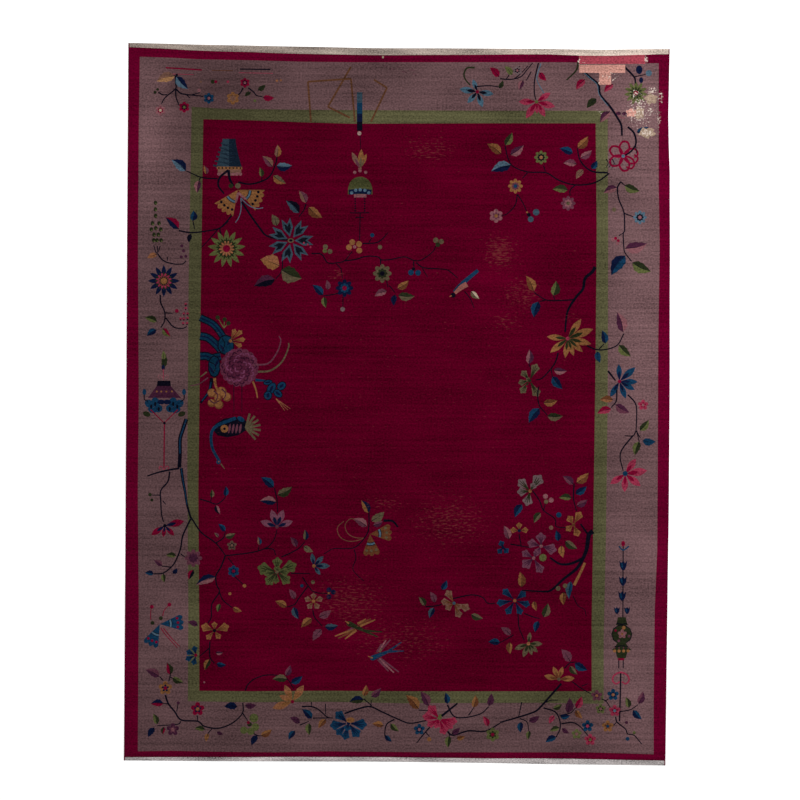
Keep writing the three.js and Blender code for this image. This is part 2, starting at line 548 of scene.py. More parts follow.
# The lantern hanging in the left border
# A leaf-shaped finial, a bow, a purple shade with gold dots over blue foliage, and red strings
# gathered to a long cord with a second bow.


def bow(x, y, reach, dye):
    """A bow of two small loops."""
    for side in (-1, 1):
        stem(1.0, (x, y + 1.5), (x + side * 0.6 * reach, y - 2), (x + side * reach, y),
             (x + side * 0.6 * reach, y + 2), dye=dye)


LANTERN_X = 164.4
leaf(163.4, 369, 163.4, 350.5, GREEN, GREEN, 0.34)
leaf(163.4, 360, 163.4, 350.5, LEAF, LEAF, 0.5)
dot(163.4, 367.6, 1.8, NAVY, 1.5)
stem(0.9, (163.4, 369), (163.6, 380), dye=ROSE)
bow(163.5, 377, 5.5, PINK)
knot([(157.8, 380.7), (170.6, 380.7), (171, 386), (157, 386)], INK)
knot([(157, 386), (171, 386), (181.4, 398), (148, 398)], PURPLE)
for x in (157, 161.5, 166.5, 172):
    dot(x, 391.5, 1.0, GOLD)
for side in (-1, 1):
    for right, down, half_length, half_width, heading, dye in [
        (14.5, 404, 5.5, 4, 30, BLUE), (8.5, 402, 5, 4, 60, BLUE), (6, 408.5, 4, 4.5, 80, BLUE),
        (12, 410, 4.5, 3, 20, BLUE),
        (3, 402, 2.5, 4, 90, NAVY), (17.5, 414, 4, 2.6, 20, GREEN), (19.8, 392, 2, 3.2, 0, BLUE),
    ]:
        oval(LANTERN_X + side * right, down, half_length, half_width, 90 - side * (90 - heading), dye)
    for right, down in [(9, 404), (13, 406.5), (5.5, 409)]:
        dot(LANTERN_X + side * right, down, 1.2, INK, 1.8)
    stem(1.2,
         *[(LANTERN_X + side * right, down) for right, down in [(20, 395), (19.6, 399.5), (16, 401.5)]])
    stem(1.2, (LANTERN_X + side * 13.6, 409.6), (LANTERN_X, 423), dye=RED)
stem(1.3, (164.6, 423), (164.4, 445), (164.2, 467), dye=RED, tip=1.0)
dot(164.6, 423, 1.4, INK)
bow(164.2, 468, 5, ROSE)

# The lantern hanging in the top of the field
# A bar in four blues, a forked finial, an olive dome over a scalloped band, and two beaded legs.
for dye, upper, lower in [(TEAL, 92.5, 103), (BLUE, 103, 114), (NAVY, 114, 122), (INK, 122, 131)]:
    stem(5.5, (359.7, upper), (359.7, lower), dye=dye, tip=1.0)
dot(359.4, 133.6, 2.1, "7e6a64")
stem(0.8, (360.2, 136), (360.6, 149))
lily(360, 169, GOLD, OLIVE, FAWN, (366.6, 154), (361.6, 149.3), width=0.28)
pointed(360, 169, 352, 152.4, FAWN, LILAC, 0.28)
for x, y in [(354.8, 172.6), (360, 171), (365.7, 172.6)]:
    dot(x, y, 1.7, PINK)
dome = np.linspace(0, math.pi, 13)
knot(np.column_stack((360.2 + 12.4 * np.cos(dome), 194.5 - 17.6 * np.sin(dome) ** 0.7)), "393a22")
stem(5.0, (349, 192.4), (360.2, 191.4), (371.4, 192.4), dye=NAVY, tip=1.0)
for x, y in [(351.7, 193), (355.7, 190.5), (360.2, 190), (365, 190.5), (368.9, 193)]:
    dot(x, y, 1.7, SKY)
stem(3.2, (354, 196), (366.5, 196), dye=PINK, tip=1.0)
for x in (355.2, 364.8):
    for y in np.arange(199, 213, 2.4):
        dot(x, y, 0.9, INK)
for start, end in [((350, 213), (369.5, 213)), ((355.5, 217.5), (363.8, 217.5)),
                   ((360.2, 213), (359.7, 240.4))]:
    stem(1.0, start, end, tip=1.0)

# The outlines left plain in the upper border
# Thin brown lines of a stand and a screen that were never filled in, with a few dark strokes.
for route in [
    [(308, 82), (311, 122)],
    [(308, 82), (351, 79)],
    [(351, 79), (355, 122)],
    [(351, 67), (328, 107)],
    [(328, 107), (350, 118)],
    [(374, 80), (387, 88)],
    [(387, 88), (371, 122)],
]:
    stem(1.9, *route, dye="4c3020", tip=1.0)
for x, y, length in [(383, 66, 4), (389, 69, 6), (397, 67, 3), (402, 72, 5), (409, 70, 6),
                     (413, 74, 3)]:
    stem(0.7, (x, y), (x + length, y + 0.6), dye=LILAC)
dot(383, 57.4, 1.0, CREAM, 1.4)

# The rock, the peony ball, the iris and the crane, by the left side of the field
# Blue bands edged in black make the rock. Beside it stand a ball of purple curls, gold petals,
# an iris with orange stamens and, under them, a crane with a fan of plumes.
ROCK_BLUE = "0a2638"
for width, *route in [
    (6.0, (200.3, 317.6), (212, 323.3), (218.4, 329.7), (223.5, 337.3)),
    (7.0, (200.3, 336), (208.2, 338), (215.9, 344.4), (221, 350)),
    (7.0, (200.3, 356.2), (207, 356.2), (212, 358), (221, 356.2)),
]:
    stem(width + 1.6, *route, tip=1.0)
    stem(width - 0.8, *route, dye=ROCK_BLUE, tip=1.0)
    stem(1.4, *route, dye=NAVY, tip=1.0)
for x, y, half_length, half_width in [(226, 345, 10.6, 8.8), (214.4, 366.5, 11.4, 6.6)]:
    oval(x, y, half_length, half_width, 90, INK)
    oval(x, y, half_length - 1.2, half_width - 1.2, 90, ROCK_BLUE)
    for side in (-1, 1):
        oval(x + 0.4 * side * half_width, y - 0.3 * side * half_length, 0.4 * half_length, 1.2,
             60 * side, NAVY)
stem(1.0, (222, 338), (225, 344), (222, 352))
stem(1.0, (210, 362), (216, 366), (213, 374))
for x, y in [(217.8, 317.6), (224.8, 319.5), (228.6, 323.3)]:
    stem(0.9, (224, 328), (x, y), dye=LEAF)
    dot(x, y, 2.2, GREEN)
cluster(230.6, 341, GOLD, GOLD, BROWN, (234.4, 331.4, 2.6), (240.2, 332.4, 2.6), (242.6, 339.6, 2.6),
        (239.6, 345.4, 2.6))
BALL_X, BALL_Y = 239.5, 367.5
BALL_REACH = 16
CURLS = 42
oval(BALL_X, BALL_Y, 19.5, 17.8, 0, "44192c")
petals(BALL_X, BALL_Y, 12, 19.6, 4.0, 17, "4e2233")
for turn in range(CURLS):
    spot = complex(BALL_X, BALL_Y) + BALL_REACH * math.sqrt(turn / CURLS) * np.exp(2.4j * turn)
    hook = [spot + 2.6 * np.exp(1j * (2.4 * turn + bend)) for bend in (-1.3, 0.0, 1.3)]
    stem(1.5, *((place.real, place.imag) for place in hook), dye=("60304a" if turn % 2 else "2c0e20"))
for width, dye, *route in [
    (1.8, LILAC, (254, 364.8), (268.2, 363.5), (277, 352.7), (280.9, 341.2), (279, 336)),
    (2.0, OLIVE, (258, 371.8), (270.7, 370.5), (282.2, 361.6), (288.6, 347.6), (288.6, 343)),
    (1.5, OLIVE, (207, 371.8), (200, 376.9), (190.4, 376.9)),
    (1.5, LILAC, (208.2, 377.5), (199.3, 383.9), (190.4, 385.8)),
    (4.0, INK, (212, 378), (209.5, 391), (200.6, 403)),
    (1.4, BLUE, (211.4, 382), (208.6, 392), (202, 401)),
    (3.0, GOLD, (214.6, 378), (215.6, 385), (218, 391)),
    (2.0, GOLD, (252.9, 381.4), (256, 389.6), (257.7, 398)),
    (3.0, BLUE, (255.4, 380), (265.6, 380.7)),
    (1.0, "1c0a16", (234, 385), (234, 412)),
    (1.0, "1c0a16", (242, 385), (242, 412)),
]:
    stem(width, *route, dye=dye, tip=0.6)
for x, y, radius in [(212, 393, 4.6), (221.6, 392, 5.4), (227, 397, 4.6), (211.8, 403, 4.2),
                     (219, 404.6, 4.6), (218, 398, 4)]:
    dot(x, y, radius, BROWN)
    dot(x - 0.5, y - 0.6, radius - 0.9, GOLD)
for route in [[(214, 391), (218, 395), (216, 401)], [(222, 389), (226, 394), (223, 400)],
              [(209, 399), (214, 403), (219, 401)]]:
    stem(1.2, *route, dye=PURPLE)
for x, y, half_length, half_width, heading in [
    (268, 382.4, 5, 3, 10), (271.5, 388.5, 7, 4.6, 60), (281.6, 386, 5.4, 4.4, 40),
    (268, 395.5, 5, 4.6, 80),
    (278, 393.5, 5.5, 4, 320),
]:
    oval(x, y, half_length, half_width, heading, INK)
    oval(x, y, half_length - 0.9, half_width - 0.9, heading, BLUE)
    oval(x, y, 0.5 * half_length, 0.3 * half_width, heading, NAVY)
for tip in [(285, 410.7), (288, 410), (290.5, 408.8)]:
    stem(0.8, (276, 398.6), tip, dye=ORANGE)
oval(231, 427, 18, 10, 10, INK)
stem(3.4, (236, 418), (214, 428), (212, 446), (220, 462), dye=BLUE, tip=0.8)
oval(241, 419, 4, 2.4, 330, BLUE)
dot(224.6, 428.7, 4, GOLD)
dot(224.6, 428.7, 1.4, INK)
for x in (229.6, 233.2, 236.8, 240.4):
    oval(x, 428.6, 5, 1.2, 80, LILAC)
for heading in np.linspace(75, -50, 7):
    stem(2.3, (246, 428), along(246, 428, heading, 15), dye=OLIVE, tip=1.0)
dot(218.6, 462, 2.3, BLUE)
dot(218.9, 461.6, 0.8, ORANGE)
stem(1.4, (221, 463.8), (224.8, 468.9), dye=OLIVE, tip=0.4)

# The branch down the left border, its lily and leaves
# A thick black branch with a blue streak comes down beside the green stripe and sends thin twigs
# into the border and the field.
for width, tip, *route in [
    (4.2, 0.9, (186.5, 419), (182.7, 430.6), (180.2, 439.5), (180.2, 453.6), (179.5, 467.6)),
    (3.2, 0.6, (181.4, 468), (183.3, 481.6), (185.3, 491.8), (187.2, 504.6), (191, 518)),
]:
    stem(width, *route, tip=tip)
    stem(0.3 * width, *route[:-1], dye=BLUE, tip=tip)
lily(165, 525.6, RED, NAVY, INK, (184.4, 521), (151.5, 535), (163.5, 537), (174.4, 535.5))
spray(
    stems=[
        (1.4, (191, 517), (192.9, 519.9), (201.8, 532.7), (215.9, 542.9), (225.4, 555)),
        (1.7, (179.5, 468.2), (168.7, 470), (157.2, 472.7), (147.6, 475.9)),
        (1.4, (170, 471.4), (168, 481.6), (161, 490.6), (161, 502), (161.7, 513.5), (163.6, 521.8)),
        (1.0, (161, 495), (152, 495)),
        (1.0, (163, 501), (166, 504.3)),
        (1.5, (191, 518.6), (186.5, 527.6), (182.7, 536.5), (180.8, 548), (177, 558.2), (172.5, 565.8),
         (163.6, 572.8),
         (154, 573.7)),
        (1.0, (180.8, 553.7), (186.5, 558)),
        (1.0, (171, 567), (162, 566)),
    ],
    leaves=[
        (176.3, 555.6, 166, 555.2, LEAF, GREEN),
        (162.3, 565.8, 154, 560, PURPLE, LILAC),
        (154, 573.7, 145, 572.8, BLUE, NAVY, 0.6),
        (173, 573.5, 177.5, 568, NAVY, NAVY, 0.7),
        (163.6, 573.5, 164.8, 582.4, GREEN, LEAF),
        (193.5, 569.6, 189, 579.8, INK, RED),
        (215.9, 576.7, 196, 585, PINK, NAVY, 0.45),
    ],
    blossoms=[(193.5, 558, 9, 8, LILAC, PURPLE, PURPLE)],
    dots=[(150.2, 494.6, 1.8, GREEN), (152, 499.9, 1.6, GREEN)],
)

# The lower left of the field
# Thin twigs with leaves in two tones, two lilies and three full flowers, knotted on the crimson.
lily(277, 526.6, "5b3543", NAVY, LILAC, (260.5, 521), (271.5, 509.5), (283.5, 509.5), (293, 521),
     width=0.4)
lily(314, 565.8, TEAL, NAVY, GOLD, (312, 553), (323.6, 556), (330, 565.8), (320.4, 574.7), width=0.38)
spray(
    stems=[
        (1.1, (200, 498.9), (208.2, 501.4), (217, 504), (223.5, 499.5), (226, 496.3)),
        (1.0, (210.8, 501.4), (211.8, 497)),
        (1.1, (215.9, 542.9), (223.5, 537.8), (225.4, 531.4)),
        (1.1, (225.4, 555.6), (247.8, 553), (259.2, 550.5), (268.2, 546.7), (274.5, 539), (277, 530)),
        (1.1, (265, 548.6), (273.3, 549.2), (275.8, 555)),
        (0.9, (258.6, 550), (259.2, 545)),
        (1.1, (281.6, 556.9), (297.5, 549.2), (305, 541.6)),
        (1.1, (274.5, 488), (277, 499.5), (277.7, 512.2)),
        (1.3, (225.4, 555.6), (221, 567), (215.9, 576), (217, 585), (219.4, 592), (212, 604),
         (211.4, 617), (208.2, 622.7)),
        (1.1, (219.4, 592), (223.5, 600.4), (232.4, 607.4)),
        (1.0, (228, 557.5), (233.7, 564.5)),
        (1.0, (234.4, 576), (242.7, 583.7)),
        (1.2, (210, 641.2), (210, 656.5), (214.6, 663)),
        (1.0, (210, 647.6), (199.3, 656.5)),
    ],
    leaves=[
        (211.8, 497.6, 212, 489.3, GREEN, OLIVE), (225.4, 496.3, 226, 486, NAVY, BLUE),
        (215.9, 505.2, 220.3, 514.2, PINK, INK),
        (225.2, 531.4, 218.4, 523.7, NAVY, BLUE), (219, 537, 214.4, 532.6, OLIVE, LILAC),
        (225.4, 537, 235.6, 533.3, OLIVE, GREEN),
        (260, 545, 258, 536.5, FAWN, BLUE), (273.9, 487.4, 261, 477.2, NAVY, BLUE),
        (277.7, 495, 292.4, 486.7, OLIVE, GREEN),
        (276.5, 502, 259.9, 500.8, NAVY, PINK), (296.9, 546.7, 290.5, 537, LILAC, PURPLE),
        (305.7, 540.3, 305, 529.5, OLIVE, NAVY),
        (303.8, 546, 313.4, 551.8, OLIVE, OLIVE), (220.3, 603.6, 217.8, 611.9, GREEN, LEAF),
        (233, 607.4, 242, 611.3, GOLD, BROWN),
        (198, 625.3, 187.8, 621.5, PURPLE, PURPLE), (210, 659, 205, 670, GREEN, GOLD),
        (215.9, 652.5, 223.3, 652.5, PURPLE, PINK),
        (216.5, 663.5, 226.3, 664.8, BLUE, NAVY), (286.7, 606.8, 275.2, 601, BROWN, GOLD),
        (293.7, 606.8, 298.8, 619, NAVY, TEAL),
        (295, 599, 289.2, 589, LILAC, LILAC),
    ],
    blossoms=[
        (232, 545.4, 5, 5, "45342d", INK, FAWN),
        (233.7, 571, 6, 6, BLUE, NAVY, RED),
    ],
    dots=[
        (244.6, 585.6, 1.9, GOLD), (230, 593.5, 1.6, GOLD),
        (204.4, 682, 1, PINK),
    ],
)
cluster(214.6, 630.4, INK, GOLD, BROWN, (205.7, 627.2, 4.5), (224.8, 627.2, 4.5), (214.6, 624.6, 3),
        (208.9, 636.8, 3),
        (218.4, 636, 3))
cluster(196, 655, RED, BLUE, NAVY, (194.8, 648.6, 3), (189.2, 652, 3), (188.6, 658.4, 3),
        (194.2, 661.8, 3))
cluster(277, 572, OLIVE, "3e4025", GREEN, (264, 568.6, 6.4), (290.5, 566.4, 6.4), (277.4, 562, 5),
        (269.6, 580.6, 5),
        (285.8, 579.6, 5.2), (276, 580, 3.6), (268.6, 573.6, 4.2), (285, 571.6, 4.4), (277.6, 569.6, 4))

# The lower middle of the field, with the brown butterfly
# The butterfly has two fans of brown wool for wings and long feelers that curl. Twigs with lilac
# and gold leaves hang below it.
for heading in (5, 275):
    wing(370, 534, length=22, heading=heading, spread=50, scallops=3, dye=BROWN, spot=OLIVE)
for heading, bend in ((185, -220), (205, -160)):
    curl(0.9, 364, 538, heading, length=44, bend=bend, dye="553428", tip=1.0)
spray(
    stems=[
        (1.1, (368.9, 512.9), (368.9, 526.3), (366.3, 535.2), (356, 546.7), (344.6, 548.6),
         (333.2, 548.6), (324.2, 553.7)),
        (2.2, (383.5, 520.5), (392.5, 521), (398, 527)),
        (0.9, (354.2, 549.2), (356, 558.2), (353, 569.6), (363.8, 581)),
        (1.0, (291, 573), (310, 573.5)),
        (1.1, (302.6, 577), (308.3, 585.7), (314.7, 592), (328, 593.4)),
        (1.1, (308, 586), (299, 598), (295, 604), (287.3, 606.8)),
        (1.1, (312.8, 609.3), (314.7, 617), (322.3, 626)),
    ],
    leaves=[
        (368.9, 512.9, 361.2, 500, GOLD, NAVY), (371.4, 521, 384.4, 511.6, OLIVE, OLIVE),
        (367, 526.3, 353.6, 518.6, LILAC, PINK),
        (373.3, 525.6, 382.9, 521, LILAC, PURPLE), (319, 617, 331.3, 610, LILAC, LILAC),
        (312, 618.3, 301.3, 627.2, BROWN, GOLD),
        (324.9, 626.6, 338.3, 625.3, TEAL, NAVY), (321.7, 629, 312.8, 640.6, LILAC, LILAC),
    ],
    dots=[
        (329, 589.6, 2.6, NAVY), (333.4, 592, 2.6, NAVY), (329, 596.6, 2.6, NAVY),
        (328.8, 593, 1.1, GOLD),
        (302, 585.6, 1.8, BLUE), (313, 582, 2, OLIVE),
    ],
)

cluster(313.6, 601, GOLD, FAWN, BROWN, (307.6, 599, 3), (313.6, 595.8, 3), (320, 599, 3),
        (309.8, 606, 3), (317, 606, 3))

# The two swallows
# Each has a tapering body with a gold beak, a forked tail and wings of three or four feathers.


def swallow(beak, head, rump, body, tails, feathers):
    """A bird from its beak to its rump. Tails are tips; feathers are (root, tip, dye)."""
    for root, tip, dye in feathers:
        stem(2.4, root, tip, dye=dye, tip=0.5)
    for tip in tails:
        stem(2.6, rump, tip, dye=body, tip=0.4)
    stem(5.4, head, ((head[0] + rump[0]) / 2, (head[1] + rump[1]) / 2), rump, dye=body, tip=0.5)
    dot(*head, 2.6, body)
    stem(1.8, head, beak, dye=GOLD, tip=0.4)


swallow(
    (345.3, 620.8), (349, 623.4), (364, 630.4), GREEN, [(382.3, 631.7), (378, 636.8)],
    [((360, 625.9), (375.3, 619.5), GOLD), ((359, 624), (371, 618.6), BROWN),
     ((357.6, 623.6), (366, 618.8), GOLD),
     ((354.8, 628.5), (335, 636), GOLD), ((355.4, 629.4), (338, 638.3), BROWN),
     ((356.4, 630), (345, 638.8), GOLD),
     ((354, 627.4), (348, 630), LILAC)],
)
swallow(
    (368, 656), (372.7, 657.8), (388, 651.4), BLUE, [(401.4, 641.9), (404, 650.8)],
    [((380.4, 650.4), (390.6, 639.3), LILAC), ((378.6, 651), (386, 640), PINK),
     ((377, 652), (381.6, 643.6), LILAC),
     ((380, 658), (398.9, 671.8), LILAC), ((379, 658.6), (394, 672.4), PINK),
     ((378, 659), (388.6, 671), LILAC),
     ((379.4, 652), (382, 648), OLIVE)],
)

# The upper middle of the field, with the small bird
# A long twig runs along under the lantern, with round blossoms and groups of dots. The bird at its
# end is a few broad strokes.
spray(
    stems=[
        (1.1, (311.5, 253.8), (321.7, 254.4), (327.4, 262.7), (335.7, 263), (344.6, 260.8),
         (352.3, 251.3)),
        (1.1, (344.6, 261), (356, 259.5), (366.3, 256.4), (377.8, 257), (381.6, 260), (391.8, 259.5),
         (404.6, 257), (414.8, 260.8),
         (422.4, 259.5), (432.7, 251.9), (435.8, 246)),
        (1.1, (362.5, 243.6), (375.3, 243), (381.6, 239.8), (388, 232.8)),
        (0.9, (369, 242.3), (372, 238)),
        (0.9, (336.4, 264), (340.8, 269), (342.7, 278.7)),
        (1.0, (343, 296.5), (343, 306.7)),
        (1.1, (338.3, 293.3), (330.6, 295), (323.6, 295.9)),
        (1.2, (380.6, 260), (380.4, 265)),
        (1.0, (386.7, 281.2), (388, 287.6)),
        (1.0, (389.3, 285.7), (395, 292.7)),
        (1.2, (413.5, 261.5), (413.9, 267)),
        (1.1, (416, 262.7), (423.7, 267.8), (439, 269), (448, 270.4), (457.5, 278)),
        (0.9, (422.4, 268.5), (427.6, 277.4)),
        (0.9, (464.5, 291.4), (470.3, 299), (474, 308)),
    ],
    leaves=[
        (323, 295.3, 312.5, 285, NAVY, BLUE), (328, 290, 326.8, 280, LILAC, LILAC),
        (324.2, 297, 326, 308, GREEN, LEAF),
        (397.6, 288.9, 408.7, 280.6, GOLD, BROWN), (386.7, 290.8, 374.6, 296.3, PINK, LILAC),
        (398.2, 295.3, 414.8, 296.2, GREEN, OLIVE),
        (395, 294.6, 393.8, 306, NAVY, NAVY), (471, 291.4, 479.2, 299, CREAM, OLIVE),
    ],
    blossoms=[(344.6, 288.2, 9, 8, NAVY, BLUE, RED), (382.3, 273.6, 9.5, 8, OLIVE, GREEN, INK)],
    dots=[
        (325.5, 247, 2.6, OLIVE), (330, 251.6, 2.5, OLIVE), (324.9, 251, 2.2, LEAF),
        (352.3, 242.3, 3, GOLD), (359, 244.2, 3, GOLD),
        (359.3, 250.6, 3, GOLD), (349, 247.4, 3, GOLD), (354.6, 247, 1.7, PINK),
        (372.3, 235.3, 2.2, BLUE), (380, 247.2, 2.2, OLIVE),
        (435.8, 240.4, 2.8, OLIVE), (441.3, 241.7, 2.6, OLIVE), (437.8, 244.9, 2.4, GREEN),
        (342.7, 309.3, 2.4, GREY),
        (411, 272.6, 3, BLUE), (418, 272.9, 3, BLUE), (413.5, 269, 1.8, INK),
    ],
)
stem(4.4, (462, 283.8), (470, 277), (478, 270.4), dye=BLUE, tip=0.8)
stem(6.4, (466.6, 283.8), (460, 288), (454.3, 292.7), dye="7a4a44", tip=0.7)
stem(2.0, (466, 280.6), (459, 285), (453.4, 291.6), dye=BLUE)
dot(453, 295.3, 2.6, INK)
stem(1.5, (451.6, 295.6), (449.4, 296.9), dye=GOLD, tip=0.4)

# The upper border, right of the middle
# A blue and a rose lily, on stems that come in from the guard stripe.
lily(477.3, 92, "384f5e", INK, RED, (459.4, 89.3), (472.8, 79.6), (493.6, 94.4), (467.4, 103.4),
     (482.4, 107.5))
lily(536.4, 102, ROSE, RED, LEAF, (518.5, 102), (550.4, 93), (555, 107), (545, 117), (537, 114),
     (526, 118.6))
stem(1.9, (474.7, 67.9), (467, 68.3), (463.9, 74.6), (465.8, 80.4), (470.3, 85.5), dye=GREEN)
stem(2.0, (578.4, 61.3), (575.9, 70.8), (566.3, 80.4), dye=GREEN)
stem(1.2, (540.8, 63.8), (537.6, 73.4), (537, 81), (544, 93.8), dye=SKY)
spray(
    stems=[
        (1.1, (476.7, 86.8), (488.8, 86), (500, 87.4)),
        (1.1, (500, 79), (510, 79.7), (520.4, 77.2), (527.4, 69.5), (532.5, 63.2)),
        (1.2, (538.3, 63.2), (534.4, 81), (534.4, 93.8), (535.7, 100)),
        (1.0, (531, 72), (526, 81)),
        (0.9, (506, 79.6), (511, 73), (520, 66.4)),
        (0.9, (514, 79.4), (521, 73.4), (528, 66)),
    ],
    leaves=[
        (499, 77.2, 489.7, 67.6, RED, RED), (512, 75.3, 504.5, 66.4, LEAF, LEAF),
        (523, 80.4, 519, 90.6, PURPLE, PINK),
        (499, 88.6, 503, 80.6, GREEN, GREEN), (539.5, 72.7, 546.2, 81, RED, RED, 0.6),
    ],
    blossoms=[(517.2, 70.8, 5, 6, GREY, INK, PINK)],
)

# The upper right border
# The thick stem starts in the mended corner. The spider chrysanthemum has thin petals that curl.
stem(2.8, (581.6, 69.5), (589.3, 77.2), (598.2, 84.8), (600, 95), (609.7, 106.5), (617.3, 118),
     (621.2, 125.7), (621.8, 135.9))
stem(0.9, (583, 72), (590, 78.6), (597, 85), (599, 95), (608, 106.5), dye=SKY)
chrysanthemum(635.8, 93.2, 12, 11, LEAF, GREEN, [], RED)
SPIDER = (623, 156.3)
SPIDER_COUNT = 11
oval(613, 163.4, 6, 5, 30, GREY)
for shift in (-3.0, 0.0, 3.0):
    stem(1.0, (609 + shift, 159), (611 + shift, 163.6), (608.6 + shift, 168), dye=INK)
for turn in range(SPIDER_COUNT):
    bend = 200 if turn % 2 else -200
    curl(2.2, *SPIDER, heading=360 * turn / SPIDER_COUNT, length=26, bend=bend, dye=RED)
dot(*SPIDER, 1.8, SKY)
spray(
    stems=[
        (1.8, (623.7, 66.4), (633.9, 77.2), (635.2, 83.6)),
        (1.0, (633.9, 77.2), (645.4, 74.6)),
        (1.8, (627.6, 127), (633.9, 133.3), (635.8, 143.5), (631.4, 151), (625, 155.6)),
        (1.0, (635.2, 143.5), (636.5, 153.7)),
    ],
    leaves=[
        (584.8, 79.7, 576, 90, ROSE, RED), (612.9, 84.2, 604, 92.5, ROSE, RED),
        (596.3, 98.9, 586.5, 108.4, GREEN, GREEN),
        (609.7, 111.6, 600, 123, PINK, PURPLE), (636.6, 132.6, 648.4, 127, BLUE, NAVY),
    ],
    dots=[(639, 70, 3.4, NAVY, 1.3), (648.6, 73.4, 3.2, SKY), (641, 80.4, 2.1, NAVY, 1.4)],
)

# The right border
# Twigs run down the border to a blue lily and then a rose one, with leaves in two tones.
lily(619.3, 381.4, BLUE, NAVY, RED, (618.6, 364), (635.2, 367.3), (637.6, 382), (634.6, 390),
     (625.6, 398.6), (610, 397),
     width=0.32)
lily(625, 474, ROSE, RED, BLUE, (635.8, 458.6), (647, 470.4), (640.4, 486), (624.4, 492), (610, 483.8))
dot(625, 473.5, 2.6, BLUE)
spray(
    stems=[
        (1.3, (620.5, 181.8), (617.3, 188.2), (618.6, 199.6), (623.7, 212.4), (624.4, 230), (623, 234),
         (623.7, 248), (625, 253.2),
         (631.4, 261.5)),
        (1.0, (620.5, 181.8), (625, 186)),
        (1.1, (624.4, 213.7), (633.3, 216.9)),
        (0.9, (618.6, 236), (622.5, 233.4)),
        (1.3, (586.7, 345.6), (595.7, 349.5), (605.9, 349.5), (617.3, 345), (623.7, 333.5)),
        (1.0, (599, 349), (604, 344)),
        (1.8, (607.8, 371), (615.4, 380.7)),
        (1.3, (616.7, 389.6), (616, 401), (611, 407.5)),
        (1.3, (627.6, 394.7), (634.6, 402.4), (636.5, 411.3), (635.8, 430.6)),
        (1.0, (635.8, 430.6), (640.3, 438.3)),
        (1.0, (636.5, 430.6), (639, 442)),
        (1.1, (635.8, 431), (632.7, 435.7), (624.4, 435.7)),
        (1.3, (632.7, 435.7), (622.4, 448.5), (619.9, 457.4), (623, 470.8)),
    ],
    leaves=[
        (624.4, 185.6, 639.7, 191.4, GREEN, LEAF), (616.7, 187.5, 603.3, 193.3, PINK, PURPLE),
        (625, 248.7, 647.3, 243.6, PURPLE, PINK, 0.55),
        (632, 262.7, 651, 271.7, GREEN, LEAF), (625, 255.7, 611, 275.5, BLUE, NAVY),
        (623, 332.2, 617, 312, PURPLE, PINK, 0.55),
        (605.2, 343.7, 602, 330.3, NAVY, BLUE), (597, 351.4, 600, 362.9, BLUE, BLUE),
        (618.6, 345, 630.7, 356.5, GREEN, LEAF),
        (612.9, 399.9, 599.5, 399.9, ORANGE, BROWN), (611, 408.9, 597, 413.4, ROSE, RED),
        (615.4, 404.5, 629.5, 412.8, PURPLE, LILAC),
        (639.7, 430.6, 648.6, 419.8, GREEN, LEAF), (642.2, 440.8, 655.6, 441.5, BLUE, BLUE, 0.6),
        (639, 441.5, 634.6, 455.5, GREEN, LEAF),
    ],
    blossoms=[(639.7, 217.5, 7, 8, SKY, INK, PINK), (642.9, 405, 5.4, 5, ROSE, RED, PINK)],
    dots=[
        (613.9, 209.8, 2.2, OLIVE), (613, 239.8, 2.1, PINK), (615.4, 238.5, 1.6, RED),
        (618, 241, 1.6, RED), (617.3, 243.6, 1.8, PINK),
    ],
)

# The vase in the right border
# Navy tulips one over the other on a straight stem, in a dark green jar on a scrolled stand.
TULIP = [(-1, -0.9), (-0.45, -0.4), (0, -0.9), (0.45, -0.4), (1, -0.9), (0.8, 0.3), (0.3, 1), (-0.3, 1),
         (-0.8, 0.3)]
stem(1.1, (623, 544), (622.8, 580), (622.7, 617), tip=1.0)
stem(1.4, (618.6, 546), (623, 550), (628.8, 546), dye=BLUE, tip=1.0)
dot(623, 543.5, 2.0, RED, 1.4)
for x, y, size in [(623, 565, 4.0), (622.7, 580.5, 4.0), (622, 595.5, 4.0), (616.7, 610, 3.0),
                   (626.9, 610, 3.0)]:
    knot([(x + size * right, y + 1.25 * size * down) for right, down in TULIP], NAVY)
    oval(x - 0.3 * size, y, 0.7 * size, 0.25 * size, 100, BLUE)
flared(621.6, top=617, foot=625, half_top=4, half_foot=6, dye=GREEN)
stem(1.2, (616.4, 623), (621.6, 624), (626.8, 623))
oval(621.6, 634.2, 10.6, 10, 0, INK)
oval(621.6, 634.2, 9.8, 9.2, 0, GREEN)
petals(622, 633.8, 0.5, 4.8, 1.7, 5, PINK)
for x, y, radius, dye in [
    (622, 633.8, 1.2, GOLD), (623.5, 627.5, 1.9, GOLD), (615.4, 630.4, 1.3, RED),
    (618.6, 640.6, 1.4, LILAC), (628.8, 636, 1.4, LILAC),
]:
    dot(x, y, radius, dye)
flared(621.4, top=642, foot=650, half_top=4, half_foot=10, dye=GREEN)
flared(621.4, top=650, foot=658, half_top=6, half_foot=4, dye=GREEN)
stem(1.0, (614.6, 646.4), (621.2, 645.6), (627.8, 646.4))
for x in (614.4, 618.9, 623.4, 627.9):
    dot(x, 650.8, 1.6, GOLD)
    dot(x, 647.6, 0.8, LILAC)
stem(2.2, (617.8, 659), (624, 659), dye=RED, tip=1.0)
for x in (618.6, 623):
    stem(1.1, (x, 660), (x, 668), tip=1.0)
for heading, bend in ((-10, -200), (190, 200)):
    curl(1.9, 620.6, 672, heading, length=22, bend=bend, dye=ROSE)
stem(1.5, (620.5, 673), (620, 697), (619.3, 721), tip=1.0)

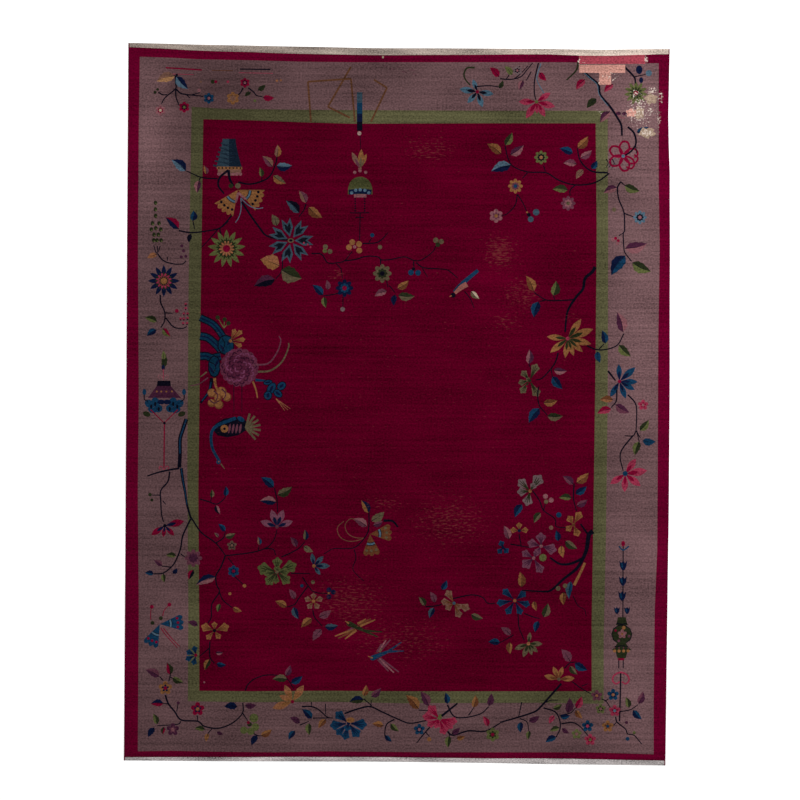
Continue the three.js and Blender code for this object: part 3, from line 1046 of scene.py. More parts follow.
# The upper right of the field
# A twig comes in over the green stripe and branches to four blossoms and a group of teal dots.
spray(
    stems=[
        (1.5, (607.8, 172.9), (594.4, 172.2), (586.7, 168.4), (579.7, 160), (577.2, 148.6)),
        (1.3, (609, 173.5), (599.5, 180.5), (589.3, 184.3), (574, 185), (558.7, 180.5), (545.9, 172.9),
         (528, 172.2), (512.8, 166.5),
         (507.7, 157.6), (505, 146)),
        (1.0, (543.4, 165.8), (545.3, 171.6)),
        (1.0, (527.4, 172.9), (522.3, 178.6)),
        (1.0, (517.2, 194.5), (515.3, 204.7), (508.3, 213), (500, 216.9)),
        (1.0, (517.2, 194.5), (523, 203.5), (527.4, 213.7)),
        (1.1, (575.3, 185), (570.2, 190), (569.9, 195.8)),
    ],
    leaves=[
        (577.8, 148.6, 588, 136.5, GOLD, BROWN), (572.7, 153.7, 559.3, 148.6, NAVY, BLUE),
        (580.4, 158.2, 591.8, 150.5, PINK, LILAC),
        (576.5, 164, 563, 163.3, PINK, LILAC), (591.2, 169, 597, 160.7, NAVY, BLUE, 0.65),
        (583, 169.7, 576, 179.2, FAWN, FAWN),
        (505, 145.4, 512, 132.7, GREEN, LEAF), (510.2, 155, 523.6, 145.4, PURPLE, PINK),
        (501, 154, 487, 144, BROWN, GOLD),
        (510.8, 165.2, 491, 171.6, NAVY, SKY), (567.6, 190, 552.3, 189.4, LEAF, GREEN),
    ],
    blossoms=[
        (541, 157.6, 7, 8, LEAF, INK, ORANGE), (515.3, 186.3, 7.5, 8, GOLD, LILAC, BLUE),
        (496, 216, 7, 6, PINK, LILAC, GOLD),
        (568, 203.5, 7.5, 8, LILAC, PINK, OLIVE),
    ],
    dots=[(536, 212.4, 3.4, TEAL), (530.6, 219.4, 3, TEAL), (528.7, 215, 2, INK),
          (527, 212.5, 1, GOLD)],
)

# The right of the field, with the black branch and the gold lily
# The branch is knotted in near-black wool and thins to the lily's stalk. Twigs with leaves in two
# tones hang from both.
cluster(529.6, 380.6, GREEN, OLIVE, GREEN, (535, 368, 4.4), (524, 373.6, 3.6), (521.6, 382.4, 3.4),
        (523, 390, 3.8), (536, 392.4, 4.6),
        (528, 379.6, 2.4))
stem(3.6, (595, 267), (591.8, 272.3), (584.8, 278.7), (582.9, 288.9), (576.5, 296.5), (568.9, 308),
     (566.3, 317), (565, 332), tip=0.5)
lily(567.6, 338.6, GOLD, GREEN, ROSE, (581, 318.9), (593, 329), (591, 344), (582.6, 352), (565, 358),
     (573.6, 356), (550, 352.6),
     (546.6, 336.7), width=0.29)
spray(
    stems=[
        (1.2, (574.6, 299.7), (558.7, 300.6), (545.9, 300), (533.8, 292.4)),
        (1.0, (545.9, 300), (539.5, 301.6)),
        (0.9, (554.8, 299.7), (553, 296)),
        (1.3, (558, 352.7), (555.5, 361.6), (551, 368.6), (542, 378.2), (535.7, 380)),
        (0.9, (551, 368.6), (552.3, 376.9)),
        (0.9, (528.7, 364), (530.6, 368.6)),
        (1.2, (538.3, 387), (537.6, 396), (539.5, 406), (547.2, 415)),
    ],
    leaves=[
        (533.8, 291.4, 526, 276, BROWN, GOLD), (553.6, 295.9, 556, 281, LEAF, GREEN, 0.65),
        (538.3, 301.6, 533.8, 317.6, NAVY, BLUE, 0.6),
        (553.6, 369.9, 567, 371, PURPLE, PINK), (552.3, 376.3, 562.5, 389, NAVY, BLUE),
        (528.7, 364, 529.3, 349.5, PINK, PURPLE),
        (543.4, 403, 557.4, 400.5, BROWN, GOLD), (539.5, 408.3, 528.7, 423, NAVY, BLUE),
        (547.2, 416, 563, 416, GREEN, OLIVE),
    ],
    dots=[
        (524.6, 378.4, 1.2, RED), (527, 386.4, 1.2, RED),
    ],
)

# The lower right of the field, with the black trunk
# The trunk is the heaviest stroke of the field. Twigs leave it for full flowers in grey, orchid,
# gold and blue, with two lilies below.
stem(5.0, (592.9, 531), (588.6, 535.2), (586.7, 548), (582.9, 558.2), (576.5, 568.4), (563.8, 578.6),
     (551, 590), (542, 591.3),
     (521.7, 590), tip=0.25)
stem(3.0, (583, 558), (571.4, 563.3), (560, 563.9), (549.7, 557.4), tip=0.6)
stem(2.2, (588.6, 535.6), (580.4, 523.7))
stem(2.4, (584.8, 562.6), (580, 573), (574, 585), dye=GOLD, tip=1.2)
cluster(514.7, 600.4, GOLD, BLUE, NAVY, (505.6, 591.8, 3.8), (522.6, 594, 3.8), (526.2, 603.8, 3.6),
        (500.4, 602.6, 3.8),
        (508.4, 610.8, 3.8), (519.6, 611, 3.6))
lily(528.3, 643.5, OLIVE, GREEN, ORANGE, (530, 632), (542.4, 643.7), (537.6, 652), (531.8, 655),
     (523, 657), (514.4, 649))
lily(558.7, 679, GOLD, BROWN, OLIVE, (544, 675.4), (553, 666.4), (562.6, 666.4), (574.6, 678))
spray(
    stems=[
        (1.1, (532.5, 490.6), (539.5, 500.8), (543.4, 510.3), (554.8, 518.6), (556, 526.3),
         (566.3, 527.6)),
        (0.9, (543.4, 510.3), (545.3, 503.3)),
        (1.2, (574, 484), (573.3, 498), (576.5, 511)),
        (1.1, (519, 534), (521, 545.4)),
        (1.1, (510.2, 544), (521.7, 546), (529.3, 547.3)),
        (1.1, (524.2, 613.2), (531.9, 616.4), (539.5, 618.3)),
        (1.1, (517.9, 613.2), (519, 627.2), (524.2, 640)),
        (1.0, (513.4, 634.8), (500, 642.5)),
        (0.8, (572.7, 595.3), (577.8, 605.5), (584.2, 609.3), (586, 615.7)),
        (1.2, (425.6, 606.5), (434, 606), (441.6, 604.2)),
        (1.1, (453, 598.5), (471, 594.7), (482.4, 597.2), (487.5, 603), (495, 603)),
        (1.1, (564.4, 668), (569.5, 662.9), (576.5, 661.6)),
        (1.8, (561.2, 683.3), (551, 694.8), (539.5, 707.6), (533.2, 712), (517.9, 717), (500, 722.2)),
        (1.0, (572, 681.4), (581.6, 688.4), (590.6, 693.5)),
        (0.9, (581.6, 686), (588, 683.3)),
    ],
    leaves=[
        (521.7, 504, 514.7, 517.3, BLUE, NAVY), (540.2, 512.2, 533.8, 523, OLIVE, GREEN),
        (573.3, 484.2, 562.5, 475.9, LILAC, PURPLE),
        (576.5, 482.9, 588.6, 472.7, GOLD, BROWN), (575.3, 493.8, 586.7, 486, NAVY, BLUE),
        (571.4, 497.6, 558.7, 497.6, LEAF, GREEN),
        (576.5, 505.9, 587.4, 499.5, LILAC, PURPLE), (508.9, 539, 503.8, 525.6, LILAC, PINK),
        (558, 541, 556, 530, BLUE, NAVY, 0.6),
        (565, 541, 577.2, 548.6, OLIVE, GREEN), (561.2, 545.4, 563, 557.5, GOLD, GOLD),
        (521.7, 586.9, 519.8, 571.6, GOLD, BROWN),
        (570.8, 581, 568.9, 599, BLUE, TEAL, 0.4), (563.8, 592, 563.4, 604.9, BROWN, GOLD),
        (533.8, 601, 536.4, 610.6, BROWN, GOLD),
        (543.4, 617, 547.8, 603, GREEN, OLIVE, 0.6), (538.3, 620.8, 535, 632.3, NAVY, BLUE),
        (510.8, 634.8, 500.6, 627.2, LILAC, LILAC),
        (509.6, 642, 510.2, 654, GOLD, BROWN), (425.6, 605.5, 418.6, 596.6, OLIVE, GREEN),
        (435.2, 602.3, 430, 591.5, LILAC, LILAC),
        (434, 607.4, 429.5, 618.3, NAVY, TEAL), (441.6, 589.6, 446.7, 580, NAVY, BLUE, 0.6),
        (471, 614.4, 483, 618.3, OLIVE, GREEN),
        (500, 642.5, 488, 641.9, NAVY, BLUE, 0.6), (570.2, 661.6, 561.2, 648.9, LILAC, LILAC, 0.6),
        (574.6, 662.9, 587.4, 669.9, NAVY, BLUE, 0.6),
        (569.5, 666, 577.2, 674.4, OLIVE, GREEN),
    ],
    dots=[
        (545.3, 496.3, 2.6, PINK), (551, 500, 2.6, PINK), (546, 501.6, 2.2, OLIVE),
        (558.7, 514.8, 2.8, BLUE), (551, 527.6, 2.2, FAWN),
        (542.7, 557.5, 3.8, LEAF), (558, 588.3, 2.4, OLIVE), (565, 585.7, 2.4, OLIVE),
    ],
)
cluster(530, 491, GOLD, GREY, GREEN, (537.6, 480, 6), (522, 483, 5), (521.6, 491.6, 4.6),
        (527.6, 500.6, 5.2), (533, 486, 3.4))
cluster(573.4, 524.4, BROWN, GOLD, BROWN, (578.6, 515.4, 4.2), (570, 519, 3.8), (576.8, 532.6, 3.8),
        (568.6, 528.4, 3.4))
cluster(519.2, 530.6, NAVY, GOLD, BROWN, (513.4, 530, 3), (519, 525.4, 3), (525, 530, 3))
cluster(503, 547.4, NAVY, BLUE, NAVY, (501.4, 543.6, 3.2), (506, 550.4, 3.2), (499.8, 551, 3))
cluster(454, 603, TEAL, FAWN, BROWN, (448.6, 593.6, 4), (444.6, 601.6, 3.6), (448.4, 607, 3.6),
        (458.4, 613.8, 3.8), (465.4, 607.4, 4.2),
        (459.4, 606.4, 3))
ORCHID = "54303f"
cluster(541, 546, PINK, ORCHID, PURPLE, (540.8, 537.6, 5.2), (532, 543.4, 4.8), (551, 548.8, 5.6),
        (538, 551, 3.6))
cluster(533.6, 558, PINK, ORCHID, PURPLE, (525.4, 553.4, 4), (536, 553.4, 3.2), (526.6, 563.6, 5.4),
        (539.6, 568.6, 4.6))

# The blue butterfly and the blossoms in the lower left border
# The butterfly has two fans of blue wool for wings and thin red feelers. Below it a twig with three
# blossoms turns the corner.
for heading in (5, 245):
    wing(160, 624, length=24, heading=heading, spread=42, scallops=3, dye=BLUE, spot=RED)
for route in [
    [(151, 619.5), (150.8, 614), (151.4, 607.4)],
    [(163, 615.7), (164.2, 610.6), (168.4, 605.4)],
    [(161, 627.8), (166, 634.8), (177.6, 647.6)],
    [(163.6, 627.8), (171.2, 637.4), (179.9, 646.3)],
]:
    stem(1.0, *route, dye=RED)
for x, y, dye in [(152, 606.6, RED), (169.6, 604.4, RED), (152.7, 622.7, GREEN), (161, 618, GREEN)]:
    dot(x, y, 2.0, dye)
lily(292.6, 701.4, ORANGE, GOLD, RED, (284.8, 684.6), (303.8, 685), (279.4, 695), (272.6, 708))
spray(
    stems=[
        (1.5, (165.5, 694.8), (168.7, 703.7), (175, 711.4), (181.4, 719.7), (198, 721), (204.4, 726),
         (218.4, 728), (232.4, 722.9),
         (242.7, 712.7), (242.9, 702.4)),
        (1.0, (160, 676.5), (163.6, 680.8)),
        (1.0, (170.6, 674.4), (169, 681.4)),
        (0.9, (170.6, 677), (172.5, 677.6)),
        (0.9, (168, 703.5), (163.6, 703)),
        (0.9, (177, 711.4), (178.2, 703)),
        (1.1, (180.8, 721), (177.6, 724), (157.2, 725.4)),
        (1.0, (197.4, 715.2), (198, 721)),
        (0.9, (212, 728.6), (208.2, 733)),
        (1.1, (242.7, 712.7), (247.8, 720.3)),
        (1.0, (251, 731.8), (257.3, 735), (261, 735.6)),
        (1.1, (245.5, 690.3), (247.8, 684.6), (255.4, 678.2), (269.4, 674.6), (286, 677.6),
         (293.7, 688.4)),
    ],
    leaves=[
        (170.6, 674.4, 167.4, 662.3, RED, GREEN, 0.6), (159.7, 676.3, 145.7, 669.3, PURPLE, LILAC),
        (172.5, 677.6, 183.7, 682, LEAF, GREEN),
        (163.6, 703, 150.8, 703.7, RED, NAVY, 0.6), (157.4, 724, 153.4, 713.3, LEAF, GREEN),
        (154.6, 727.3, 148.3, 736.9, NAVY, NAVY),
        (164.2, 726.7, 163, 734.3, RED, GREEN, 0.6), (205, 729.2, 194.8, 728, LEAF, GREEN),
        (217, 731.5, 223.5, 734, PURPLE, PURPLE),
        (208.2, 733, 206.3, 741.4, GOLD, GOLD), (237.5, 706.3, 224.2, 706.3, NAVY, NAVY, 0.6),
        (245.2, 705.3, 256.7, 704.7, PURPLE, PURPLE),
        (257.3, 735, 251.6, 745.2, NAVY, NAVY), (261, 735.6, 272, 729.2, GOLD, BROWN),
        (286, 675.7, 290.5, 664.8, LILAC, PURPLE),
        (287.3, 678.9, 272.6, 678.9, GREEN, OLIVE), (291, 682.7, 302.6, 675.7, NAVY, BLUE),
    ],
    blossoms=[
        (165.5, 687.8, 7, 5, GOLD, NAVY, RED), (173, 729.2, 6.5, 5, PURPLE, LILAC, PINK),
        (197.8, 708.8, 7, 5, RED, NAVY, GOLD),
    ],
    dots=[
        (178.4, 702.6, 1.6, PURPLE), (254, 717.8, 4.6, LEAF), (255.4, 726.7, 4, LEAF),
        (251, 731, 3.8, LEAF), (244, 729.9, 3.8, LEAF),
        (249.6, 724, 2.4, GREEN), (248.4, 722.2, 1.6, RED),
    ],
)

# The lower border
# A blue and a rose flower stand on twigs that run along the whole border, with small blossoms
# towards the right corner.
cluster(348.5, 723, NAVY, BLUE, NAVY, (339.5, 715, 5), (335, 724.8, 5), (361.4, 724, 5.6),
        (345.6, 735.4, 4.2), (356, 732.6, 5),
        (339.4, 731.6, 4), (347.6, 727, 4))
cluster(439.4, 718.6, RED, ROSE, RED, (432, 709.6, 5.4), (427, 716.6, 4.6), (448, 724.6, 5.6),
        (437, 723.6, 4.6), (443.4, 730, 4.4),
        (453, 720.8, 4.2), (430.6, 723.6, 4))
oval(350.4, 719.7, 4.4, 2.8, 0, GOLD)
oval(440, 716.6, 3.4, 2, 60, LEAF)
spray(
    stems=[
        (1.3, (302, 706.3), (311.5, 706.3), (319, 709.5), (326.8, 716.5), (333, 717.8)),
        (0.9, (311.5, 701.8), (312, 706.3)),
        (0.9, (325.5, 703.7), (325.5, 714)),
        (1.0, (312.8, 717.8), (333, 717.5)),
        (1.0, (300, 724.8), (309, 721)),
        (1.5, (344.6, 713.3), (357.4, 708.8), (370, 706.3), (381.6, 711.4), (397, 718.4),
         (409.7, 722.9), (426.3, 720.3)),
        (1.0, (363.8, 698.6), (372, 705.6)),
        (0.9, (370.8, 705.6), (371.4, 699.9)),
        (1.2, (394.4, 719), (386.7, 724), (384.8, 733), (385.5, 737.5)),
        (1.0, (418.6, 709.8), (428.2, 710.4)),
        (2.0, (441.6, 715.8), (457.5, 703)),
        (1.3, (447.3, 704.4), (453, 715.2), (462, 717.5), (479.8, 713.9), (488.8, 706.3)),
        (1.0, (468.4, 715.2), (473.5, 707.6)),
        (1.2, (430, 726.7), (424.4, 733), (416.7, 742.6)),
        (1.0, (425.6, 731.8), (429.5, 736.3)),
        (1.5, (447.3, 731), (453, 735), (468.4, 730.5), (485, 731), (500, 722.9)),
        (0.9, (449.2, 735.6), (449.8, 733)),
        (1.0, (521.7, 701.8), (518.5, 716.5)),
        (1.0, (519.8, 718.4), (526.8, 721.6), (528.7, 730.5)),
        (1.3, (543.4, 707.6), (554.8, 711.4), (559.3, 719), (560, 728), (556, 736.9)),
        (1.0, (559.3, 715.2), (570.2, 712.7), (575.3, 707.6)),
        (0.9, (544.6, 702.4), (551, 699.9), (558, 699.9)),
        (1.2, (561.2, 723.5), (572.7, 722.2), (580.4, 726.7), (588, 735.6)),
        (1.0, (601.4, 698.6), (605.9, 701), (611, 708.8)),
        (0.9, (608.4, 698.6), (604.6, 701)),
        (1.2, (615.4, 716.5), (616.7, 721.6), (621.2, 725.4), (625.6, 729.2), (627.6, 733.7),
         (633.9, 735), (641.6, 743.9)),
        (0.9, (612.9, 725.4), (616.7, 721.6)),
        (1.0, (619.3, 711.4), (630, 709.5), (637.8, 704.4)),
    ],
    leaves=[
        (312, 718.4, 302, 708.8, NAVY, BLUE), (326, 719, 318.5, 728, BROWN, GOLD),
        (309, 722.9, 309.6, 735, GREEN, LEAF),
        (300, 722.9, 289.9, 717, PURPLE, PURPLE), (295, 730.5, 288.6, 739.4, NAVY, BLUE),
        (363.8, 696, 366.3, 684.6, GOLD, BROWN),
        (371.4, 696.7, 381, 687.8, LILAC, PURPLE), (363.8, 699.3, 349, 701.8, GREEN, NAVY),
        (383.5, 725.4, 372, 723.5, BROWN, GOLD),
        (390.6, 723.5, 398.9, 731, LEAF, GREEN), (385.5, 735, 391.8, 741.4, BLUE, NAVY),
        (418.6, 708.8, 405.9, 694.8, BROWN, GOLD),
        (428.8, 705.6, 420.5, 691, PURPLE, LILAC), (447.3, 703.7, 445.4, 692.2, NAVY, BLUE),
        (473.5, 707.6, 475.4, 694.8, GOLD, BROWN),
        (488.8, 705.6, 491.3, 692.9, PURPLE, PURPLE), (488, 726, 483, 715.8, ROSE, RED),
        (449.2, 735.6, 448, 747.7, GREEN, LEAF),
        (456.3, 738.2, 465.2, 735.9, BROWN, GOLD), (451.8, 733.7, 460, 727.3, PURPLE, PURPLE),
        (521, 721.6, 520.4, 732.4, NAVY, BLUE, 0.6),
        (529.3, 730.5, 528, 739.4, GREEN, LEAF), (528.7, 721, 539.5, 715.8, PURPLE, PURPLE),
        (554.2, 715.2, 549, 723.5, ROSE, ROSE),
        (553, 708.8, 561.9, 703.7, LEAF, GREEN), (560, 716.5, 570.2, 715.2, NAVY, BLUE),
        (567.6, 712.7, 569.5, 697.3, PURPLE, PURPLE),
        (575.9, 708.2, 581.6, 696, RED, ROSE), (575.3, 710, 582.3, 718.4, GOLD, BROWN),
        (559.3, 727.3, 549.7, 731, LEAF, GREEN),
        (562, 728, 569, 733, PURPLE, PURPLE), (556, 736.3, 545.3, 742, BLUE, NAVY),
        (628.8, 707.6, 625.6, 696.7, LEAF, GREEN),
        (638.4, 703.7, 642.9, 691, LILAC, PURPLE), (632.7, 710, 641.6, 719, BLUE, NAVY),
    ],
    blossoms=[
        (419.3, 729.2, 5.8, 5, BLUE, NAVY, PINK), (492.6, 734.3, 7, 6, LEAF, GREEN, RED),
        (587.4, 725.8, 6, 5, BLUE, NAVY, ROSE),
        (576.5, 733.7, 5.2, 5, LEAF, OLIVE, PINK), (590, 739.4, 6, 5, ROSE, RED, LEAF),
        (596.6, 695.4, 5.8, 5, LILAC, PURPLE, ORANGE),
        (612.9, 694.5, 6, 5, BLUE, NAVY, ORANGE), (600.4, 708.6, 5.2, 5, LEAF, GREEN, PINK),
        (614.5, 710.4, 6, 5, ROSE, RED, SKY),
        (607.5, 726, 6, 5, GOLD, BROWN, BLUE),
    ],
    dots=[(429.2, 739, 2.2, GOLD), (633.9, 732.4, 1.6, LEAF), (627.3, 738.5, 2, BLUE),
          (626.3, 722.2, 1.6, PURPLE)],
)

# The mended upper right corner
# A strip and a patch were put in later with paler wool that doesn't match, and the pile round
# them is worn down to the cotton.
SALMON = "af7d72"
MEND_ROSE = "953c49"
WORN_TAN = "877363"
RAGGED_STEPS = 22


def strip(left, top, right, bottom, dye):
    """A straight-sided patch."""
    knot([(left, top), (right, top), (right, bottom), (left, bottom)], dye)


def ragged(x, y, reach_x, reach_y, dye):
    """A worn or patched place with a ragged rim."""
    turn = np.linspace(0, 2 * math.pi, RAGGED_STEPS, endpoint=False)
    reach = 1 + 0.16 * np.sin(5 * turn + x) + 0.12 * np.sin(9 * turn + y)
    knot(np.column_stack((x + reach_x * reach * np.cos(turn), y + reach_y * reach * np.sin(turn))), dye)


strip(579, 55, 645, 64, MEND_ROSE)
strip(579, 65, 625, 73, SALMON)
strip(599, 73, 611, 85, SALMON)
ragged(651, 99, 6, 5, WORN_TAN)
ragged(639, 113, 5, 6, WORN_TAN)
ragged(647, 133, 8, 5, WORN_TAN)
ragged(631, 113, 5, 4, SALMON)
stem(2.4, (616, 111.6), (620, 117), (625, 118.4), dye=PINK)
for x, y in [(618.4, 113.6), (624.4, 113.8)]:
    oval(x, y, 2.6, 1.7, 0, PURPLE)

# The pile
# Wool knots cut level at 10 mm, packed so tightly that the edge of the pile rounds over. Worn
# places lie lower. The pattern goes through to the back, where the knots' loops show it again.
SIDE_THICK = 0.0045
PILE_ROUND = 0.009
CORD_ROOM = 0.004
RIM_SHARES = (0.0, 0.12, 0.4, 1.0)
RIM_PITCH = 0.04
GRID_PITCH = 0.04
MERGE = 2e-5
UNDULATION = 0.0006


def linear(dye):
    """A dye's hexadecimal sRGB code as linear red, green and blue."""
    shares = np.array([int(dye[i:i + 2], 16) / 255 for i in (0, 2, 4)])
    return np.where(shares <= 0.04045, shares / 12.92, ((shares + 0.055) / 1.055) ** 2.4)


def inside(points, outline):
    """True for each point that the closed outline winds round."""
    turns = np.zeros(len(points), int)
    x, y = points.T
    for (x0, y0), (x1, y1) in zip(outline, np.roll(outline, -1, axis=0)):
        leftness = (x1 - x0) * (y - y0) - (x - x0) * (y1 - y0)
        turns += (y0 <= y) & (y1 > y) & (leftness > 0)
        turns -= (y0 > y) & (y1 <= y) & (leftness < 0)
    return turns != 0


def pile_edge(inset):
    """The outline of the pile, set in by a distance, as stations round the rug."""
    low, high = np.interp(0, *PILE_LOWER) + inset, np.interp(0, *PILE_UPPER) - inset
    across = np.linspace(-1, 1, round(2.7 / RIM_PITCH))
    upward = np.linspace(low, high, round(3.5 / RIM_PITCH))

    def end_row(line, inset_y):
        left = np.interp(line[1][0], *LEFT) + CORD_ROOM + inset
        right = np.interp(line[1][0], *RIGHT) - CORD_ROOM - inset
        x = left + (across + 1) / 2 * (right - left)
        return np.column_stack((x, np.interp(x, *line) + inset_y))

    lower, upper = end_row(PILE_LOWER, inset), end_row(PILE_UPPER, -inset)
    inner = upward[1:-1]
    left = np.column_stack((np.interp(inner, *LEFT) + CORD_ROOM + inset, inner))
    right = np.column_stack((np.interp(inner, *RIGHT) - CORD_ROOM - inset, inner))
    low_left, low_right = lower[0, 1], lower[-1, 1]
    left = left[(left[:, 1] > low_left + MERGE) & (left[:, 1] < upper[0, 1] - MERGE)]
    right = right[(right[:, 1] > low_right + MERGE) & (right[:, 1] < upper[-1, 1] - MERGE)]
    return np.vstack((lower, right, upper[::-1], left[::-1]))


# Where years of light and feet have told. The first table is partly fading of the dyes and partly
# painted light, which makes the right border lighter. Columns: x and y of the middle and the reach
# across and down, in cartoon squares, then the strength.
# Fading and painted light together: the strongest zones make the right border lighter.
FADED_AND_PAINTED_LIGHT = [
    (650, 120, 55, 110, 0.75), (652, 330, 50, 150, 0.65), (648, 560, 48, 110, 0.45),
    (640, 700, 45, 55, 0.6),
    (148, 140, 20, 70, 0.7), (560, 90, 90, 30, 0.3), (420, 117, 120, 10, 0.36), (215, 90, 50, 26, -0.3),
    (645.4, 310, 8, 8, -0.6), (530, 260, 120, 160, 0.25), (250, 640, 90, 70, 0.3),
    (480, 660, 120, 60, 0.2),
]
RUBBED = [
    (500, 252, 28, 34, 0.6), (522, 295, 40, 36, 0.53), (337, 274, 18, 12, 0.56),
    (385, 503, 40, 18, 0.52),
    (450, 520, 80, 56, 0.52), (350, 602, 80, 50, 0.53), (570, 318, 18, 12, 0.5),
    (505, 322, 36, 10, 0.58),
    (430, 150, 60, 30, 0.51), (400, 640, 130, 50, 0.49), (400, 400, 900, 900, 0.37),
]
BARE = [
    (652, 91, 9, 7, 0.6), (660, 97, 3, 11, 0.63), (639, 103, 9, 6, 0.59), (647, 133, 11, 6, 0.6),
    (659, 118, 3, 14, 0.58),
    (650, 111, 10, 9, 0.54), (610, 76, 24, 12, 0.46), (646, 60, 4, 8, 0.62), (579, 61, 3, 7, 0.6),
    (599, 82, 3, 6, 0.54),
    (613, 80, 3, 6, 0.52), (640, 112, 30, 36, 0.49), (653, 320, 5, 5, 0.5), (635, 94, 10, 9, 0.53),
    (600, 112, 12, 6, 0.46),
]
WORN_DEPTH = 0.007
FINE_PITCH = 0.012
WORN_CORNER = ((572, 52), (662, 144))


def zoned(points, zones):
    """The strongest of the zones at each point, or the weakest where that one is below nothing."""
    total = np.zeros(len(points))
    for x, y, reach_x, reach_y, strength in zones:
        right, up = (points - on_rug([(x, y)])[0]).T / SQUARE
        value = strength * np.exp(-(right / reach_x) ** 2 - (up / reach_y) ** 2)
        total = np.where(np.abs(value) > np.abs(total), value, total)
    return total


def pile_height(points):
    """How high the pile stands at each point: rounded at the edges, a little uneven elsewhere."""
    x, y = points.T
    from_side = np.minimum(x - np.interp(y, *LEFT), np.interp(y, *RIGHT) - x) - CORD_ROOM
    from_end = np.minimum(y - np.interp(x, *PILE_LOWER), np.interp(x, *PILE_UPPER) - y)

    def rim(low, distance):
        share = np.clip(distance / PILE_ROUND, 0, 1)
        return low + (PILE_TOP - low) * np.sqrt(1 - (1 - share) ** 2)

    waves = np.sin(5.1 * x + 2.3 * y) + np.sin(9.7 * y - 3.1 * x + 1.0) + np.sin(17.0 * x + 11.0 * y)
    full = np.minimum(rim(SIDE_THICK, from_side),
                      rim(WEB_THICK, from_end)) - UNDULATION * (1 - waves / 3)
    return full - np.minimum(WORN_DEPTH * (zoned(points, BARE) + 0.3 * zoned(points, RUBBED)),
                             0.6 * full)


outlines = [pile_edge(share * PILE_ROUND) for share in RIM_SHARES]
points, edges = [], []
for outline in [on_rug(area) for area, dye in areas] + outlines:
    first, count = len(points), len(outline)
    points += [Vector(point) for point in outline]
    edges += [(first + i, first + (i + 1) % count) for i in range(count)]
inner_low, inner_high = outlines[-1].min(axis=0), outlines[-1].max(axis=0)
for x in np.arange(inner_low[0], inner_high[0], GRID_PITCH):
    points += [Vector((x, y)) for y in np.arange(inner_low[1], inner_high[1], GRID_PITCH)]
corner_low, corner_high = WORN_CORNER
for x in np.arange(corner_low[0], corner_high[0], FINE_PITCH / SQUARE):
    column = [(x, y) for y in np.arange(corner_low[1], corner_high[1], FINE_PITCH / SQUARE)]
    points += [Vector(point) for point in on_rug(column)]
spots, _, triangles, *_ = delaunay_2d_cdt(points, edges, [], 0, MERGE)
spots, triangles = np.array(spots), np.array(triangles)
middles = spots[triangles].mean(axis=1)
kept = inside(middles, outlines[0])
triangles, middles = triangles[kept], middles[kept]

# Each triangle takes the dye of the last area laid over its middle.
face_dye = np.zeros(len(triangles), int)
for index, (area, dye) in enumerate(areas):
    outline = on_rug(area)
    low, high = outline.min(axis=0), outline.max(axis=0)
    near = np.flatnonzero(np.all((middles > low) & (middles < high), axis=1))
    face_dye[near[inside(middles[near], outline)]] = index
# The mauve and green fade most in the light, so the dye's fourth value is how much it fades; it scales
# the painted light too.
FADE_AND_PAINTED_LIGHT_SHARES = {MAUVE: 1.0, STRIPE: 1.6}
USUAL_FADE_AND_PAINTED_LIGHT_SHARE = 0.35
area_colours = [(*linear(dye), FADE_AND_PAINTED_LIGHT_SHARES.get(dye, USUAL_FADE_AND_PAINTED_LIGHT_SHARE)) for area, dye in areas]
face_colour = np.array(area_colours)[face_dye]

used = np.unique(triangles)
place = np.full(len(spots), -1)
place[used] = np.arange(len(used))
spots, triangles = spots[used], place[triangles]
rims = np.vstack([triangles[:, [0, 1]], triangles[:, [1, 2]], triangles[:, [2, 0]]])
owners = np.tile(np.arange(len(triangles)), 3)
keys = np.sort(rims, axis=1) @ (len(spots), 1)
_, first_seen, times = np.unique(keys, return_index=True, return_counts=True)
open_edges, open_owners = rims[first_seen[times == 1]], owners[first_seen[times == 1]]

count = len(spots)
top = np.column_stack((spots, pile_height(spots)))
back = np.column_stack((spots, np.zeros(count)))
start, end = open_edges.T
walls = np.vstack((np.column_stack((start, start + count, end + count)),
                   np.column_stack((start, end + count, end))))
faces = np.vstack((triangles, triangles[:, ::-1] + count, walls))
colours = np.vstack((face_colour, face_colour, face_colour[open_owners], face_colour[open_owners]))
pile_mesh = bpy.data.meshes.new("rug_pile")
pile_mesh.from_pydata(np.vstack((top, back)).tolist(), [], faces.tolist())
pile_mesh.polygons.foreach_set("use_smooth", np.arange(len(faces)) < len(triangles))
dye_layer = pile_mesh.color_attributes.new("dye", "FLOAT_COLOR", "CORNER")
dye_layer.data.foreach_set("color", np.repeat(colours, 3, axis=0).ravel())
for name, zones in (("faded_and_painted_light", FADED_AND_PAINTED_LIGHT), ("rubbed", RUBBED), ("bare", BARE)):
    layer = pile_mesh.attributes.new(name, "FLOAT", "POINT")
    layer.data.foreach_set("value", np.tile(zoned(spots, zones), 2))
rug_pile = bpy.data.objects.new("rug_pile", pile_mesh)
bpy.context.scene.collection.objects.link(rug_pile)


class Value:
    """A socket of a shader. Arithmetic on it adds the Math nodes that work the result out."""

    def __init__(self, tree, socket=None):
        self.tree, self.socket = tree, socket

    def node(self, kind, settings=(), output=0, **sockets):
        """Adds a node: its settings first, then its sockets' values or links, by name or _number."""
        made = self.tree.nodes.new(kind)
        for name, value in dict(settings).items():
            setattr(made, name, value)
        for name, value in sockets.items():
            key = int(name[1:]) if name[0] == "_" else name.replace("_", " ")
            if isinstance(value, Value):
                self.tree.links.new(value.socket, made.inputs[key])
            else:
                made.inputs[key].default_value = value
        return Value(self.tree, made.outputs[output])

    def math(self, operation, first, second):
        return self.node("ShaderNodeMath", {"operation": operation}, _0=first, _1=second)

    def __add__(self, other):
        return self.math("ADD", self, other)

    def __sub__(self, other):
        return self.math("SUBTRACT", self, other)

    def __rsub__(self, other):
        return self.math("SUBTRACT", other, self)

    def __mul__(self, other):
        return self.math("MULTIPLY", self, other)

    __radd__ = __add__
    __rmul__ = __mul__


